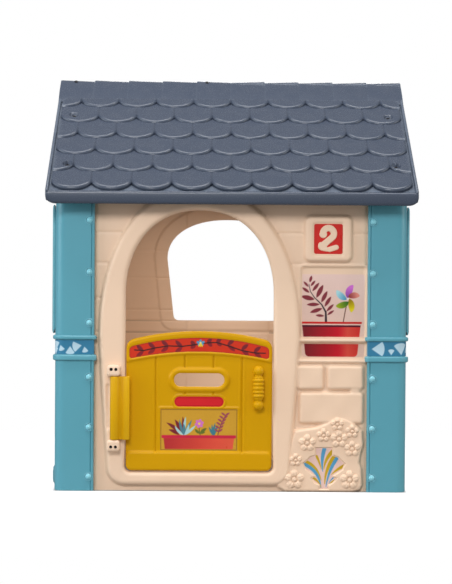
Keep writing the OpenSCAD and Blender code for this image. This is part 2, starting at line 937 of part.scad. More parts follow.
// Ridge tiles where this panel's lip laps over the other panel
module ridge_lap_profile() {
  polygon([
    [-ridge_reach, roof_top(ridge_reach) - tiny], [-ridge_reach, roof_top(ridge_reach) + ridge_rise],
    [0, house_h], [ridge_lap, roof_top(ridge_lap) + ridge_rise],
    [ridge_lap, roof_top(ridge_lap) + ridge_rise - ridge_lip_t],
    [0, house_h - ridge_lip_t], [-seat_gap / 2, house_h - ridge_lip_t],
    [-seat_gap / 2, roof_top(0) - tiny]
  ]);
}

// Ridge tiles where the other panel's lip lies on this one
module ridge_rebate_profile() {
  edge = ridge_lap + seat_gap;
  drop = ridge_lip_t + seat_gap;
  polygon([
    [-ridge_reach, roof_top(ridge_reach) - tiny], [-ridge_reach, roof_top(ridge_reach) + ridge_rise],
    [-edge, roof_top(edge) + ridge_rise], [-edge, roof_top(edge) + ridge_rise - drop],
    [-seat_gap / 2, house_h - drop - seat_gap / 2], [-seat_gap / 2, roof_top(0) - tiny]
  ]);
}

// The skirt and rib along a verge
module verge_profile() {
  rib = verge_rib_h / cos(roof_pitch);
  skirt = verge_skirt_h / cos(roof_pitch);
  toe = roof_run - rib * sin(roof_pitch);
  polygon([
    [-seat_gap / 2, roof_top(0)], [-ridge_reach + tiny, roof_top(ridge_reach - tiny)],
    [-ridge_reach + tiny, roof_top(ridge_reach - tiny) + rib], [-toe, roof_top(toe) + rib],
    [-roof_run, roof_base_z],
    [-roof_run, eave_z], [-roof_run + eave_board_t, eave_z], [-seat_gap / 2, roof_top(0) - skirt]
  ]);
}

// The hollow behind a row of shingles, between the gable walls
module shingle_hollow(row) {
  low = shingle_margin + row * exposure + lobe_depth + 4;
  high = min(low + exposure - 8, ridge_strip_v - 2);
  lift = shingle_t - roof_skin - 4;
  half_w = roof_screw_x - gable_rim_w;
  on_slope()
    translate([-half_w, 0, 0])
      rotate([90, 0, 90])
        linear_extrude(2 * half_w)
          polygon([[low, -roof_skin - tiny], [low, lift], [high, -roof_skin - tiny]]);
}

// The seat of a ridge screw, square to the lip, at a distance x from the verge
module on_ridge_lip(x) {
  translate([-roof_w / 2 + x, ridge_screw_y, roof_top(ridge_screw_y) + ridge_rise])
    rotate([-roof_pitch, 0, 0])
      translate([0, 0, -ridge_head_depth])
        children();
}

// The front panel; the rear one is the same moulding turned half round
module roof_panel() {
  difference() {
    union() {
      along_roof(-roof_w / 2, roof_w / 2) roof_sheet_profile();
      along_roof(-roof_w / 2, -seat_gap / 2) ridge_lap_profile();
      along_roof(-tiny, roof_w / 2) ridge_rebate_profile();
      on_slope()
        for (row = [0 : shingle_rows - 1]) shingle_row(row);
      for (x = [-roof_w / 2, roof_w / 2 - verge_t])
        along_roof(x, x + verge_t) verge_profile();
    }
    for (row = [0 : shingle_rows - 1]) shingle_hollow(row);
    on_slope()
      for (side = [-1, 1], v = roof_screw_v)
        translate([side * roof_screw_x, v, -roof_skin - tiny]) {
          cylinder(r = screw_shank_r + shank_fit, h = 30);
          translate([0, 0, roof_skin + tiny]) cylinder(r = roof_pocket_r, h = 30);
        }
    for (x = ridge_screw_x) {
      on_ridge_lip(x) {
        translate([0, 0, -ridge_screw_len - 1])
          cylinder(r = screw_shank_r + shank_fit, h = ridge_screw_len + 3);
        cylinder(r = screw_head_r + 0.5, h = 10);
      }
      rotate(180)
        on_ridge_lip(x)
          translate([0, 0, -ridge_screw_len - 1])
            cylinder(r = screw_shank_r + shank_fit, h = ridge_screw_len + 3);
    }
  }
}

module front_roof_panel() {
  color(slate) roof_panel();
}

module rear_roof_panel() {
  color(slate) rotate(180) roof_panel();
}

// A round-headed screw with its shank down along -Z and its head above z = 0
module screw(shank) {
  translate([0, 0, -shank]) cylinder(r = screw_shank_r, h = shank + screw_head_h / 2);
  cylinder(r = screw_head_r, h = screw_head_h);
}

module roof_screws() {
  color(steel)
    for (turn = [0, 180])
      rotate(turn)
        on_slope()
          for (side = [-1, 1], v = roof_screw_v)
            translate([side * roof_screw_x, v, 0]) screw(roof_screw_len - 1);
}

module ridge_screws() {
  color(steel)
    for (turn = [0, 180], x = ridge_screw_x)
      rotate(turn) on_ridge_lip(x) screw(ridge_screw_len);
}

// The door's outline: straight sides and a shallow round top
module door_shape() {
  offset(6)
    offset(delta = -6)
      intersection() {
        translate([doorway_x - door_half_w, door_foot_z]) square([2 * door_half_w, door_top_z]);
        translate([doorway_x, door_top_z - door_top_r]) circle(door_top_r, $fn = 200);
      }
}

module header_shape() {
  difference() {
    door_shape();
    translate([doorway_x, header_low_z - header_low_r]) circle(header_low_r, $fn = 200);
  }
}

module header_field() {
  offset(6)
    offset(delta = -6)
      difference() {
        intersection() {
          translate([doorway_x - header_label_half_w, door_foot_z])
            square([2 * header_label_half_w, door_top_z]);
          translate([doorway_x, door_top_z - door_top_r]) circle(door_top_r - header_rim, $fn = 200);
        }
        translate([doorway_x, header_low_z - header_low_r]) circle(header_low_r + 7, $fn = 200);
      }
}

module plate_field() {
  translate([doorway_x, plate_z]) stadium(plate_w + 2 * label_gap, plate_h + 2 * label_gap);
}

module planter_field() {
  translate([doorway_x, planter_z + planter_h / 2])
    square([planter_w + 2 * label_gap, planter_h + 2 * label_gap], center = true);
}

// The hinge barrel and the web that joins it to the door's face
module door_barrel() {
  difference() {
    union() {
      cylinder(r = barrel_r, h = barrel_len);
      linear_extrude(barrel_len)
        polygon([
          [0, -barrel_r], [web_end_x - hinge_x, -barrel_r + 6],
          [web_end_x - hinge_x, door_face - hinge_y + tiny],
          [doorway_x - door_half_w - hinge_x + tiny, door_face - hinge_y + tiny],
          [doorway_x - door_half_w - hinge_x + tiny, barrel_r - 1], [0, barrel_r - 1]
        ]);
    }
    translate([0, 0, -tiny])
      cylinder(r = hinge_pin_r + hinge_fit, h = barrel_len + 2 * tiny);
  }
}

module door() {
  color(mustard)
    on_front() {
      difference() {
        union() {
          slab(door_face, door_t) door_shape();
          slab(door_face - door_rim, door_rim + tiny) header_shape();
          slab(door_face - door_rim, door_rim + tiny)
            intersection() {
              door_shape();
              translate([doorway_x - door_half_w, door_foot_z])
                square([2 * door_half_w, bottom_rail_h]);
            }
          slab(door_face - door_rim - 1, door_rim + 1 + tiny)
            translate([doorway_x, hand_hole_z])
              stadium(hand_hole_w + 2 * hand_ring_w, hand_hole_h + 2 * hand_ring_w);
          slab(door_face - door_rim + 1, door_rim) {
            offset(label_rim) plate_field();
            offset(label_rim) planter_field();
          }
        }
        slab(door_face - 2 * door_rim, door_rim + door_skin + door_t)
          translate([doorway_x, hand_hole_z]) stadium(hand_hole_w, hand_hole_h);
        slab(door_face - door_rim - tiny, door_rim / 2 + tiny) header_field();
        slab(door_face - door_rim, door_rim) {
          plate_field();
          planter_field();
        }
        slab(door_face + door_skin, door_t)
          difference() {
            offset(delta = -door_skin) door_shape();
            translate([doorway_x, hand_hole_z])
              stadium(hand_hole_w + 2 * door_skin, hand_hole_h + 2 * door_skin);
          }
        for (x = plank_edges)
          translate([doorway_x + x - 1, door_face - tiny, door_foot_z + bottom_rail_h + tiny])
            cube([2, 2 * tiny, header_low_z - door_top_fall - door_foot_z - bottom_rail_h]);
      }
      translate([hinge_x, hinge_y, barrel_z]) door_barrel();
    }
}

// A turned pull handle: ball ends, a swelling grip with rings, and two studs to the door
module door_handle() {
  ring_steps = [-21, -7, 7, 21];
  half = handle_len / 2;
  color(mustard)
    on_front()
      translate([handle_x, handle_y, handle_z]) {
        for (side = [-1, 1]) {
          translate([0, 0, side * (half - handle_ball_r)]) sphere(handle_ball_r);
          translate([0, 0, side * (half - handle_ball_r)])
            rotate([-90, 0, 0])
              cylinder(r = handle_ball_r / 2, h = door_face - handle_y);
        }
        translate([0, 0, -half + handle_ball_r])
          cylinder(r = handle_ball_r - 4, h = 2 * (half - handle_ball_r));
        for (z = ring_steps)
          translate([0, 0, z - 5]) cylinder(r = handle_ring_r - abs(z) / 14, h = 10);
      }
}

module door_hinge_pin() {
  color(steel)
    on_front()
      translate([hinge_x, hinge_y, barrel_z - tiny - keeper_socket + seat_gap])
        cylinder(r = hinge_pin_r, h = barrel_len + 2 * (tiny + keeper_socket - seat_gap));
}

// A keeper block on the surround's face, with a blind socket for the pin on its barrel side
module hinge_keeper(z, socket_low) {
  color(beige)
    on_front()
      difference() {
        slab(surround_face - seat_gap - keeper_d, keeper_d)
          translate([keeper_x, z + keeper_h / 2]) rounded_box(keeper_w, keeper_h, 5);
        translate([hinge_x, hinge_y, socket_low])
          cylinder(r = hinge_pin_r + shank_fit, h = keeper_socket + tiny);
        for (side = [-1, 1])
          translate([keeper_x + side * keeper_screw_pitch / 2, surround_face, screw_z(z)])
            rotate([90, 0, 0]) {
              translate([0, 0, -tiny]) cylinder(r = screw_shank_r + shank_fit, h = keeper_d + 5);
              translate([0, 0, keeper_head_depth])
                cylinder(r = screw_head_r + shank_fit, h = keeper_d);
            }
      }
}

module upper_hinge_keeper() {
  hinge_keeper(keeper_high_z, keeper_high_z - tiny);
}

module lower_hinge_keeper() {
  hinge_keeper(keeper_low_z, keeper_low_z + keeper_h - keeper_socket);
}

module keeper_screws() {
  color(steel)
    on_front()
      for (z = [keeper_low_z, keeper_high_z], side = [-1, 1])
        translate([keeper_x + side * keeper_screw_pitch / 2, surround_face - keeper_head_depth,
          screw_z(z)])
          rotate([90, 0, 0]) screw(keeper_screw_len);
}

// Half of an arched shutter, open: it lies flat outside the post, hinged at x = 0, leading to +X
module shutter() {
  leaf_w = shutter_half_w - shutter_meet_gap / 2;
  difference() {
    union() {
      slab(shutter_line - knuckle_r - shutter_t, shutter_t)
        offset(18) offset(delta = -18)
          translate([shutter_half_w + shutter_edge_gap, 0])
            intersection() {
              arch_shape(shutter_half_w, shutter_half_w - 12, window_spring_z, shutter_rise,
                shutter_low_z, 16);
              translate([-shutter_half_w, 0]) square([leaf_w, house_h]);
            }
      for (z = knuckle_heights)
        translate([0, shutter_line, z + knuckle_len + seat_gap]) {
          cylinder(r = knuckle_r, h = knuckle_len);
          translate([0, -knuckle_r - 4, 0]) cube([shutter_edge_gap + 14, 8, knuckle_len]);
        }
    }
    for (z = knuckle_heights)
      translate([0, shutter_line, z + knuckle_len])
        cylinder(r = shutter_pin_r + hinge_fit, h = knuckle_len + 2 * tiny);
  }
}

// The shutter that opens towards +X of a side wall's own frame, and its mirror image
module shutter_ahead() {
  translate([shutter_line_x, 0, 0]) shutter();
}

module shutter_behind() {
  mirror([1, 0, 0]) shutter_ahead();
}

module left_front_shutter() {
  color(teal) on_left() shutter_ahead();
}

module left_back_shutter() {
  color(teal) on_left() shutter_behind();
}

module right_front_shutter() {
  color(teal) on_right() shutter_behind();
}

module right_back_shutter() {
  color(teal) on_right() shutter_ahead();
}

module wall_shutter_pins() {
  for (side = [-1, 1], z = knuckle_heights)
    translate([side * shutter_line_x, shutter_line, z])
      cylinder(r = shutter_pin_r, h = 2 * knuckle_len + seat_gap);
}

module shutter_hinge_pins() {
  color(steel) {
    on_left() wall_shutter_pins();
    on_right() wall_shutter_pins();
  }
}

module door_header_label() {
  color(red)
    on_front()
      slab(door_face - door_rim / 2 - label_t, label_t) offset(delta = -label_gap) header_field();
}

module door_plate_label() {
  color(red)
    on_front() slab(door_face - label_t, label_t) offset(delta = -label_gap) plate_field();
}

module door_planter_label() {
  color(mustard)
    on_front() slab(door_face - label_t, label_t) offset(delta = -label_gap) planter_field();
}

module number_label() {
  color(red)
    on_front()
      slab(number_face - label_t, label_t)
        difference() {
          offset(delta = -label_gap) number_field();
          placed_numeral(label_gap);
        }
}

module wall_planter_label() {
  color(pink)
    on_front()
      slab(niche_face - label_t, label_t)
        difference() {
          offset(delta = -4) niche_shape();
          niche_rails(label_gap);
          translate([field_left, niche_top_z - 22]) square([niche_w, 30]);
        }
}

module fern_label() {
  color(pink)
    on_front() slab(bed_face + fern_field_d - label_t, label_t) fern_shape(-label_gap);
}

module post_belt_labels() {
  color(teal)
    for (x = [-1, 1], y = [-1, 1])
      at_corner(x, y)
        translate([0, 0, belt_strip_z + label_gap])
          linear_extrude(belt_strip_h - 2 * label_gap)
            intersection() {
              post_section(label_t, 0);
              translate([-belt_raise, -belt_raise]) square(post_leg + belt_raise - label_gap);
            }
}

front_wall();
back_wall();
left_wall();
right_wall();
front_left_post();
front_right_post();
back_left_post();
back_right_post();
corner_pins(-1, -1);  // front_left_post_pins
corner_pins(1, -1);  // front_right_post_pins
corner_pins(-1, 1);  // back_left_post_pins
corner_pins(1, 1);  // back_right_post_pins
front_roof_panel();
rear_roof_panel();
roof_screws();
ridge_screws();
door();
door_handle();
door_hinge_pin();
upper_hinge_keeper();
lower_hinge_keeper();
keeper_screws();
left_front_shutter();
left_back_shutter();
right_front_shutter();
right_back_shutter();
shutter_hinge_pins();
door_header_label();
door_plate_label();
door_planter_label();
number_label();
wall_planter_label();
fern_label();
post_belt_labels();
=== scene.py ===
# %% [markdown]
# # A moulded playhouse, dressed in Blender
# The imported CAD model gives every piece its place, size and motion. This notebook builds the
# surfaces that are seen: soft moulded edges, shingles, printed films and screws. Each surface is
# made in plain mesh code in millimetres, and each piece rides on the CAD body that it belongs to.

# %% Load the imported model
import json
import math

import bmesh
import bpy
import numpy as np
from mathutils import Matrix, Vector


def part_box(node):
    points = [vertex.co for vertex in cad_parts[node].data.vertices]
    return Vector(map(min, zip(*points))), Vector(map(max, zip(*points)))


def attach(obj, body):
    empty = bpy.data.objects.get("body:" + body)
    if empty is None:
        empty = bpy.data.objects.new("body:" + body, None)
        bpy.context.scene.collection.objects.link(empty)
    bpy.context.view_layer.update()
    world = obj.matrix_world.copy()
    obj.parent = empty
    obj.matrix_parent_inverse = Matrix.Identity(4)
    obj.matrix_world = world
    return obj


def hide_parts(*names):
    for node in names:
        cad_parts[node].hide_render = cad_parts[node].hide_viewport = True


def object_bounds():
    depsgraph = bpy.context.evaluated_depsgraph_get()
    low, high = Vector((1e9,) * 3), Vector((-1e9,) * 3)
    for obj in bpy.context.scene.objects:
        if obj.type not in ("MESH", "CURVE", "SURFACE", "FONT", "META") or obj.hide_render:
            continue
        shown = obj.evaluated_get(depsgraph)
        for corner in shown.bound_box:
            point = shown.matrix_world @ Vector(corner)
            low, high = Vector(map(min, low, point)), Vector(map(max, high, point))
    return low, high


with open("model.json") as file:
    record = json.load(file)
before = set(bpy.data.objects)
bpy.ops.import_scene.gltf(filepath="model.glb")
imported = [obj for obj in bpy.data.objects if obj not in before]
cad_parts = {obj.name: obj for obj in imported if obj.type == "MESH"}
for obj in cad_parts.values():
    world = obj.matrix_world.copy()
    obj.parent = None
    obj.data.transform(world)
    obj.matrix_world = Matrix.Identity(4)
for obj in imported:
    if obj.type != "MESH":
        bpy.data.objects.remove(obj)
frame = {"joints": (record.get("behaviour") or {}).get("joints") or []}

cad_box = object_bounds()

# %% [markdown]
# ## Measures from the CAD
# Positions come from the boxes of the CAD's nodes, in millimetres. Each wall is drawn in a frame of
# its own: x runs along the wall, z is the height, and depth is 0 at the posts' faces and grows
# inwards. One small function per wall turns those numbers into the house's frame.

# %% Read the boxes of the nodes
MM = 0.001


def box_mm(node):
    low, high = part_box(node)
    return np.array(low) / MM, np.array(high) / MM


def middle(node):
    low, high = box_mm(node)
    return (low + high) / 2


BELT_RAISE = 6.0
post_low, post_high = box_mm("front_right_post")
HOUSE_W = 2 * (post_high[0] - BELT_RAISE)
HOUSE_D = -2 * (post_low[1] + BELT_RAISE)
FRONT_FIELD = post_low[0]
SIDE_FIELD = -post_high[1]
POST_H = post_high[2]
WALL_H = box_mm("front_wall")[1][2]
WALL_FACE = 20.0
WALL_BACK = 23.0
print("house", HOUSE_W, HOUSE_D, "fields", FRONT_FIELD, SIDE_FIELD)

# %% Put a wall's own x, depth and z into the house's frame
PLACES = {
    "front": lambda x, d, z: (x, d - HOUSE_D / 2, z),
    "back": lambda x, d, z: (-x, HOUSE_D / 2 - d, z),
    "left": lambda x, d, z: (d - HOUSE_W / 2, -x, z),
    "right": lambda x, d, z: (HOUSE_W / 2 - d, x, z),
    "free": lambda x, d, z: (x, d, z),
}


def placed(points, side):
    p = np.asarray(points, float)
    return np.stack(PLACES[side](p[:, 0], p[:, 1], p[:, 2]), axis=1) * MM


print("10 mm into the front wall lies at", placed([(0, 10, 500)], "front")[0])

# %% [markdown]
# ## Shells
# A shell gathers points and faces, and becomes one piece at the end. Its corners stay crisp above an
# angle and are smooth below it, as a moulding's are.

# %% Gather surfaces and make a piece
class Shell:
    def __init__(self):
        self.points, self.faces, self.inks = [], [], []

    def add(self, points, faces, side="free", ink=None):
        start = sum(len(p) for p in self.points)
        self.points.append(placed(points, side))
        self.faces += [tuple(int(i) + start for i in f) for f in faces]
        if ink is not None:
            self.inks.append(ink)

    def piece(self, name, body, slot_name, material, replaced=(), crisp=40.0):
        mesh = bpy.data.meshes.new(name)
        mesh.from_pydata(np.concatenate(self.points).tolist(), [], self.faces)
        build = bmesh.new()
        build.from_mesh(mesh)
        bmesh.ops.recalc_face_normals(build, faces=build.faces)
        build.to_mesh(mesh)
        build.free()
        if self.inks:
            ink = linear(np.concatenate(self.inks))
            layer = mesh.color_attributes.new("print", "FLOAT_COLOR", "POINT")
            rgba = np.concatenate([ink, np.ones((len(ink), 1))], axis=1)
            layer.data.foreach_set("color", rgba.astype(np.float32).ravel())
        mesh.shade_smooth()
        mesh.set_sharp_from_angle(angle=math.radians(crisp))
        obj = bpy.data.objects.new(name, mesh)
        bpy.context.scene.collection.objects.link(obj)
        mesh.materials.append(material)
        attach(obj, body)
        if replaced:
            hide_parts(*replaced)
        print(f"{name}: {len(mesh.polygons)} faces on {body}")
        return obj


def linear(rgb):
    """A colour as the eye reads it, 0 to 255, in the linear values that a shader takes."""
    c = np.clip(np.array(rgb, float) / 255, 0, 1)
    return np.where(c < 0.04045, c / 12.92, ((c + 0.055) / 1.055) ** 2.4)


# %% [markdown]
# ## Outlines as distances
# A signed distance says how far a point is from an outline: negative inside, positive outside. It
# turns a flat outline into a moulded form, because a rounded edge is just a curve of that distance.
# The same forms could be extruded and bevelled, but bevels break where small shapes meet, and
# distances never do.

# %% Distances to simple outlines
def box_sd(x, z, cx, cz, w, h, r=0.0):
    qx = np.abs(x - cx) - (w / 2 - r)
    qz = np.abs(z - cz) - (h / 2 - r)
    outside = np.hypot(np.maximum(qx, 0), np.maximum(qz, 0))
    return outside + np.minimum(np.maximum(qx, qz), 0) - r


def disc_sd(x, z, cx, cz, r):
    return np.hypot(x - cx, z - cz) - r


def bar_sd(x, z, x0, z0, x1, z1, r):
    ex, ez = x1 - x0, z1 - z0
    t = np.clip(((x - x0) * ex + (z - z0) * ez) / (ex * ex + ez * ez), 0, 1)
    return np.hypot(x - x0 - t * ex, z - z0 - t * ez) - r


def outline_sd(x, z, points):
    best = np.full(x.shape, 1e12)
    inside = np.zeros(x.shape, bool)
    pts = np.asarray(points, float)
    for (x0, z0), (x1, z1) in zip(pts, np.roll(pts, -1, axis=0)):
        ex, ez = x1 - x0, z1 - z0
        if ex == 0 and ez == 0:
            continue
        t = np.clip(((x - x0) * ex + (z - z0) * ez) / (ex * ex + ez * ez), 0, 1)
        best = np.minimum(best, (x - x0 - t * ex) ** 2 + (z - z0 - t * ez) ** 2)
        if z0 != z1:
            inside ^= ((z0 > z) != (z1 > z)) & (x < ex * (z - z0) / ez + x0)
    return np.where(inside, -np.sqrt(best), np.sqrt(best))


def arch_outline(mid_x, half_w, foot_half_w, spring_z, rise, foot_z, corner_r, power=2.2):
    steps = 56
    pts = []
    for i in range(steps + 1):
        t = math.pi * i / steps
        c, s = math.cos(t), math.sin(t)
        pts.append((half_w * math.copysign(abs(c) ** (2 / power), c),
                    spring_z + rise * abs(s) ** (2 / power)))
    for side, start in ((-1, 180), (1, 270)):
        for a in range(start, start + 91, 10):
            pts.append((side * (foot_half_w - corner_r) + corner_r * math.cos(math.radians(a)),
                        foot_z + corner_r + corner_r * math.sin(math.radians(a))))
    return [(mid_x + px, pz) for px, pz in pts]


print("10 mm short of a box:", box_sd(0.0, 0.0, 30, 0, 40, 20))

# %% Turn a distance into a rounded edge
def roll(sd, radius):
    """0 at an outline, 1 a radius inside it, along a quarter round."""
    t = np.clip(-sd / radius, 0, 1)
    return np.sqrt(1 - (1 - t) ** 2)


def groove(distance, width):
    """1 on a groove's middle line, 0 at its edges, with a round bottom."""
    t = np.clip(np.abs(distance) / (width / 2), 0, 1)
    return (1 - t * t) ** 1.5


def blur(field, times):
    """Softens a field of heights a little, as a mould's fillets do."""
    f = field
    for _ in range(times):
        for axis in (0, 1):
            p = np.concatenate([f.take([0], axis), f, f.take([-1], axis)], axis)
            n = f.shape[axis]
            f = (p.take(range(n), axis) + 2 * p.take(range(1, n + 1), axis)
                 + p.take(range(2, n + 2), axis)) / 4
    return f


print("a 6 mm edge, 2 mm in, stands at", round(float(roll(-2.0, 6)), 2))

# %% [markdown]
# ## Relief: a moulded panel from a field of depths
# The panel is a grid of points whose depth a function gives. The grid is cut exactly along the
# outline of what is kept, so that openings have clean edges, and then its rim is drawn back to a
# flat rear face, which makes a closed solid.

# %% Cut a grid along an outline
def cut_grid(x, z, depth, keep):
    step = float(np.median(np.diff(x[:, 0])))
    k = np.where(np.abs(keep) < 0.15 * step, 0.0, keep)
    rows, cols = x.shape
    number = np.arange(rows * cols).reshape(rows, cols)
    corners = np.stack([number[:-1, :-1], number[1:, :-1], number[1:, 1:], number[:-1, 1:]], -1)
    quads = corners.reshape(-1, 4)
    points = np.stack([x.ravel(), depth.ravel(), z.ravel()], 1)
    flat = k.ravel()
    kept = (flat[quads] >= 0).sum(1)
    faces = quads[kept == 4].tolist()
    extra, cuts = [], {}
    for quad in quads[(kept > 0) & (kept < 4)]:
        face = []
        for a, b in zip(quad, np.roll(quad, -1)):
            if flat[a] >= 0:
                face.append(int(a))
            if (flat[a] > 0 and flat[b] < 0) or (flat[a] < 0 and flat[b] > 0):
                key = (min(a, b), max(a, b))
                if key not in cuts:
                    t = flat[a] / (flat[a] - flat[b])
                    cuts[key] = len(points) + len(extra)
                    extra.append(points[a] + t * (points[b] - points[a]))
                face.append(cuts[key])
        if len(face) > 2:
            faces.append(face)
    return np.concatenate([points, np.array(extra).reshape(-1, 3)]), faces


sample_x, sample_z = np.meshgrid(np.arange(5.0), np.arange(5.0), indexing="ij")
print("a cut sample:", len(cut_grid(sample_x, sample_z, 0 * sample_x, sample_x - 1.5)[1]), "faces")

# %% Close a cut grid to a flat rear face
def close_back(points, faces, rear):
    used = sorted({i for f in faces for i in f})
    index = {old: new for new, old in enumerate(used)}
    build = bmesh.new()
    verts = [build.verts.new(points[i]) for i in used]
    for f in faces:
        build.faces.new([verts[index[i]] for i in f])
    rim = [e for e in build.edges if e.is_boundary]
    made = bmesh.ops.extrude_edge_only(build, edges=rim)["geom"]
    drawn = {v for v in made if isinstance(v, bmesh.types.BMVert)}
    for v in drawn:
        v.co.y = rear
    loop = [e for e in made if isinstance(e, bmesh.types.BMEdge) and set(e.verts) <= drawn]
    bmesh.ops.triangle_fill(build, edges=loop, use_beauty=False)
    build.verts.index_update()
    out = ([tuple(v.co) for v in build.verts], [[v.index for v in f.verts] for f in build.faces])
    build.free()
    return out


def relief(xs, zs, depth, keep, rear, soften=0):
    """A closed panel: depth(x, z) shapes its face, keep(x, z) >= 0 is where it has material."""
    x, z = np.meshgrid(np.asarray(xs, float), np.asarray(zs, float), indexing="ij")
    field = depth(x, z) + np.zeros(x.shape)
    if soften:
        field = blur(field, soften)
    return close_back(*cut_grid(x, z, field, keep(x, z)), rear)


def spaced(low, high, step):
    return np.linspace(low, high, max(2, round((high - low) / step) + 1))


sample = relief(spaced(0, 20, 2), spaced(0, 20, 2), lambda x, z: 0 * x,
                lambda x, z: -disc_sd(x, z, 10, 10, 8), 3)
print("a sample disc of 16 mm:", len(sample[1]), "faces")

# %% [markdown]
# ## Lofts and turned forms
# A loft joins rings of points, each ring with as many points as the last. A turned form is a loft
# whose rings are circles, as on a lathe.

# %% Join rings of points
def loft(rings, capped=True):
    n = len(rings[0])
    points = [p for ring in rings for p in ring]
    faces = []
    for r in range(len(rings) - 1):
        for i in range(n):
            j = (i + 1) % n
            faces.append((r * n + i, r * n + j, (r + 1) * n + j, (r + 1) * n + i))
    if capped:
        faces.append(tuple(range(n))[::-1])
        faces.append(tuple((len(rings) - 1) * n + i for i in range(n)))
    return points, faces


def turned(profile, centre, axis, steps=32, flutes=0, flute_depth=0.0):
    """Turns (radius, height) pairs about an axis through a centre."""
    basis = Vector(axis).normalized().to_track_quat("Z", "Y").to_matrix()
    rings = []
    for radius, height in profile:
        ring = []
        for i in range(steps):
            a = 2 * math.pi * i / steps
            r = radius - flute_depth * (0.5 + 0.5 * math.cos(flutes * a)) if flutes else radius
            ring.append(Vector(centre) + basis @ Vector((r * math.cos(a), r * math.sin(a), height)))
        rings.append([tuple(p) for p in ring])
    return loft(rings)


print("a turned sample:", len(turned([(5, 0), (5, 10)], (0, 0, 0), (0, 0, 1))[1]), "faces")

# %% [markdown]
# ## Finishes
# Every surface here is either moulded plastic, printed film or metal. Moulded plastic is coloured
# right through, so wear doesn't bare another colour: edges are a little paler where they are rubbed,
# the face has the fine grain of the mould, and dust greys what faces upwards. The colour is also
# darkened in concave hollows, which is painted shade. One node group makes these masks and heights,
# and each plastic uses it with its own values.

# %% A node group for moulded plastic
def group_sockets(group, inputs, outputs):
    for name, kind, default in inputs:
        socket = group.interface.new_socket(name=name, in_out="INPUT", socket_type=kind)
        socket.default_value = default
    for name, kind in outputs:
        group.interface.new_socket(name=name, in_out="OUTPUT", socket_type=kind)


def node(tree, kind, **values):
    made = tree.nodes.new(kind)
    for key, value in values.items():
        setattr(made, key, value)
    return made


def noise(tree, coord, scale, detail=2.0, rough=0.5):
    n = node(tree, "ShaderNodeTexNoise")
    n.inputs["Scale"].default_value = scale
    n.inputs["Detail"].default_value = detail
    n.inputs["Roughness"].default_value = rough
    tree.links.new(coord, n.inputs["Vector"])
    return n.outputs["Fac"]


def ramp(tree, value, low, high):
    n = node(tree, "ShaderNodeMapRange", interpolation_type="SMOOTHSTEP")
    n.inputs["From Min"].default_value = low
    n.inputs["From Max"].default_value = high
    tree.links.new(value, n.inputs["Value"])
    return n.outputs["Result"]


def maths(tree, operation, a, b):
    n = node(tree, "ShaderNodeMath", operation=operation)
    for socket, value in zip(n.inputs, (a, b)):
        if isinstance(value, (int, float)):
            socket.default_value = value
        else:
            tree.links.new(value, socket)
    return n.outputs["Value"]


def mix(tree, factor, a, b):
    n = node(tree, "ShaderNodeMix", data_type="RGBA")
    for socket, value in ((n.inputs["Factor"], factor), (n.inputs["A"], a), (n.inputs["B"], b)):
        if hasattr(value, "links"):
            tree.links.new(value, socket)
        else:
            socket.default_value = value
    return n.outputs["Result"]


print("helpers for building shader nodes are ready")


# %% The group: worn edges, painted shade in hollows, clouds, dust and grain
def moulded_group():
    g = bpy.data.node_groups.new("moulded_plastic", "ShaderNodeTree")
    group_sockets(g, [
        ("Colour", "NodeSocketColor", (0.5, 0.5, 0.5, 1)),
        ("Pale edge", "NodeSocketColor", (0.8, 0.8, 0.8, 1)),
        ("Edge amount", "NodeSocketFloat", 0.3),
        ("Mottle", "NodeSocketFloat", 0.06),
        ("Dust", "NodeSocketFloat", 0.1),
        ("Roughness", "NodeSocketFloat", 0.4),
    ], [("Colour", "NodeSocketColor"), ("Roughness", "NodeSocketFloat"),
        ("Height", "NodeSocketFloat")])
    gi, go = node(g, "NodeGroupInput"), node(g, "NodeGroupOutput")
    coord = node(g, "ShaderNodeTexCoord").outputs["Object"]
    geometry = node(g, "ShaderNodeNewGeometry")
    edges = ramp(g, geometry.outputs["Pointiness"], 0.52, 0.60)
    # painted shade: this mask picks out concave hollows and creases, where the colour is darkened below
    hollow_shade = ramp(g, geometry.outputs["Pointiness"], 0.48, 0.42)
    clouds = noise(g, coord, 6.0, 3.0)
    flow = noise(g, coord, 38.0, 3.0, 0.6)
    grain = noise(g, coord, 900.0, 1.0)
    pitted = noise(g, coord, 340.0, 2.0)
    wear = maths(g, "MULTIPLY", edges, gi.outputs["Edge amount"])
    wear = maths(g, "MULTIPLY", wear, maths(g, "ADD", 0.55, flow))
    tone = maths(g, "SUBTRACT", maths(g, "ADD", maths(g, "MULTIPLY", clouds, 0.7),
                                      maths(g, "MULTIPLY", flow, 0.3)), 0.5)
    tone = maths(g, "ADD", 1.0, maths(g, "MULTIPLY", tone, gi.outputs["Mottle"]))
    base = node(g, "ShaderNodeVectorMath", operation="SCALE")
    g.links.new(gi.outputs["Colour"], base.inputs[0])
    g.links.new(tone, base.inputs["Scale"])
    # painted shade: the colour is darkened by up to a quarter towards black in the hollows
    shaded = mix(g, maths(g, "MULTIPLY", hollow_shade, 0.25), base.outputs["Vector"], (0, 0, 0, 1))
    worn = mix(g, wear, shaded, gi.outputs["Pale edge"])
    up = node(g, "ShaderNodeSeparateXYZ")
    g.links.new(geometry.outputs["Normal"], up.inputs[0])
    dust = maths(g, "MULTIPLY", ramp(g, up.outputs["Z"], 0.35, 1.0), gi.outputs["Dust"])
    dust = maths(g, "MULTIPLY", dust, ramp(g, flow, 0.3, 0.75))
    dusty = mix(g, dust, worn, (0.55, 0.52, 0.48, 1))
    rough = maths(g, "ADD", gi.outputs["Roughness"], maths(g, "MULTIPLY", dust, 0.5))
    rough = maths(g, "ADD", rough, maths(g, "MULTIPLY", maths(g, "SUBTRACT", pitted, 0.5), 0.12))
    height = maths(g, "ADD", maths(g, "MULTIPLY", grain, 0.5), maths(g, "MULTIPLY", pitted, 0.5))
    g.links.new(dusty, go.inputs["Colour"])
    g.links.new(rough, go.inputs["Roughness"])
    g.links.new(height, go.inputs["Height"])
    return g


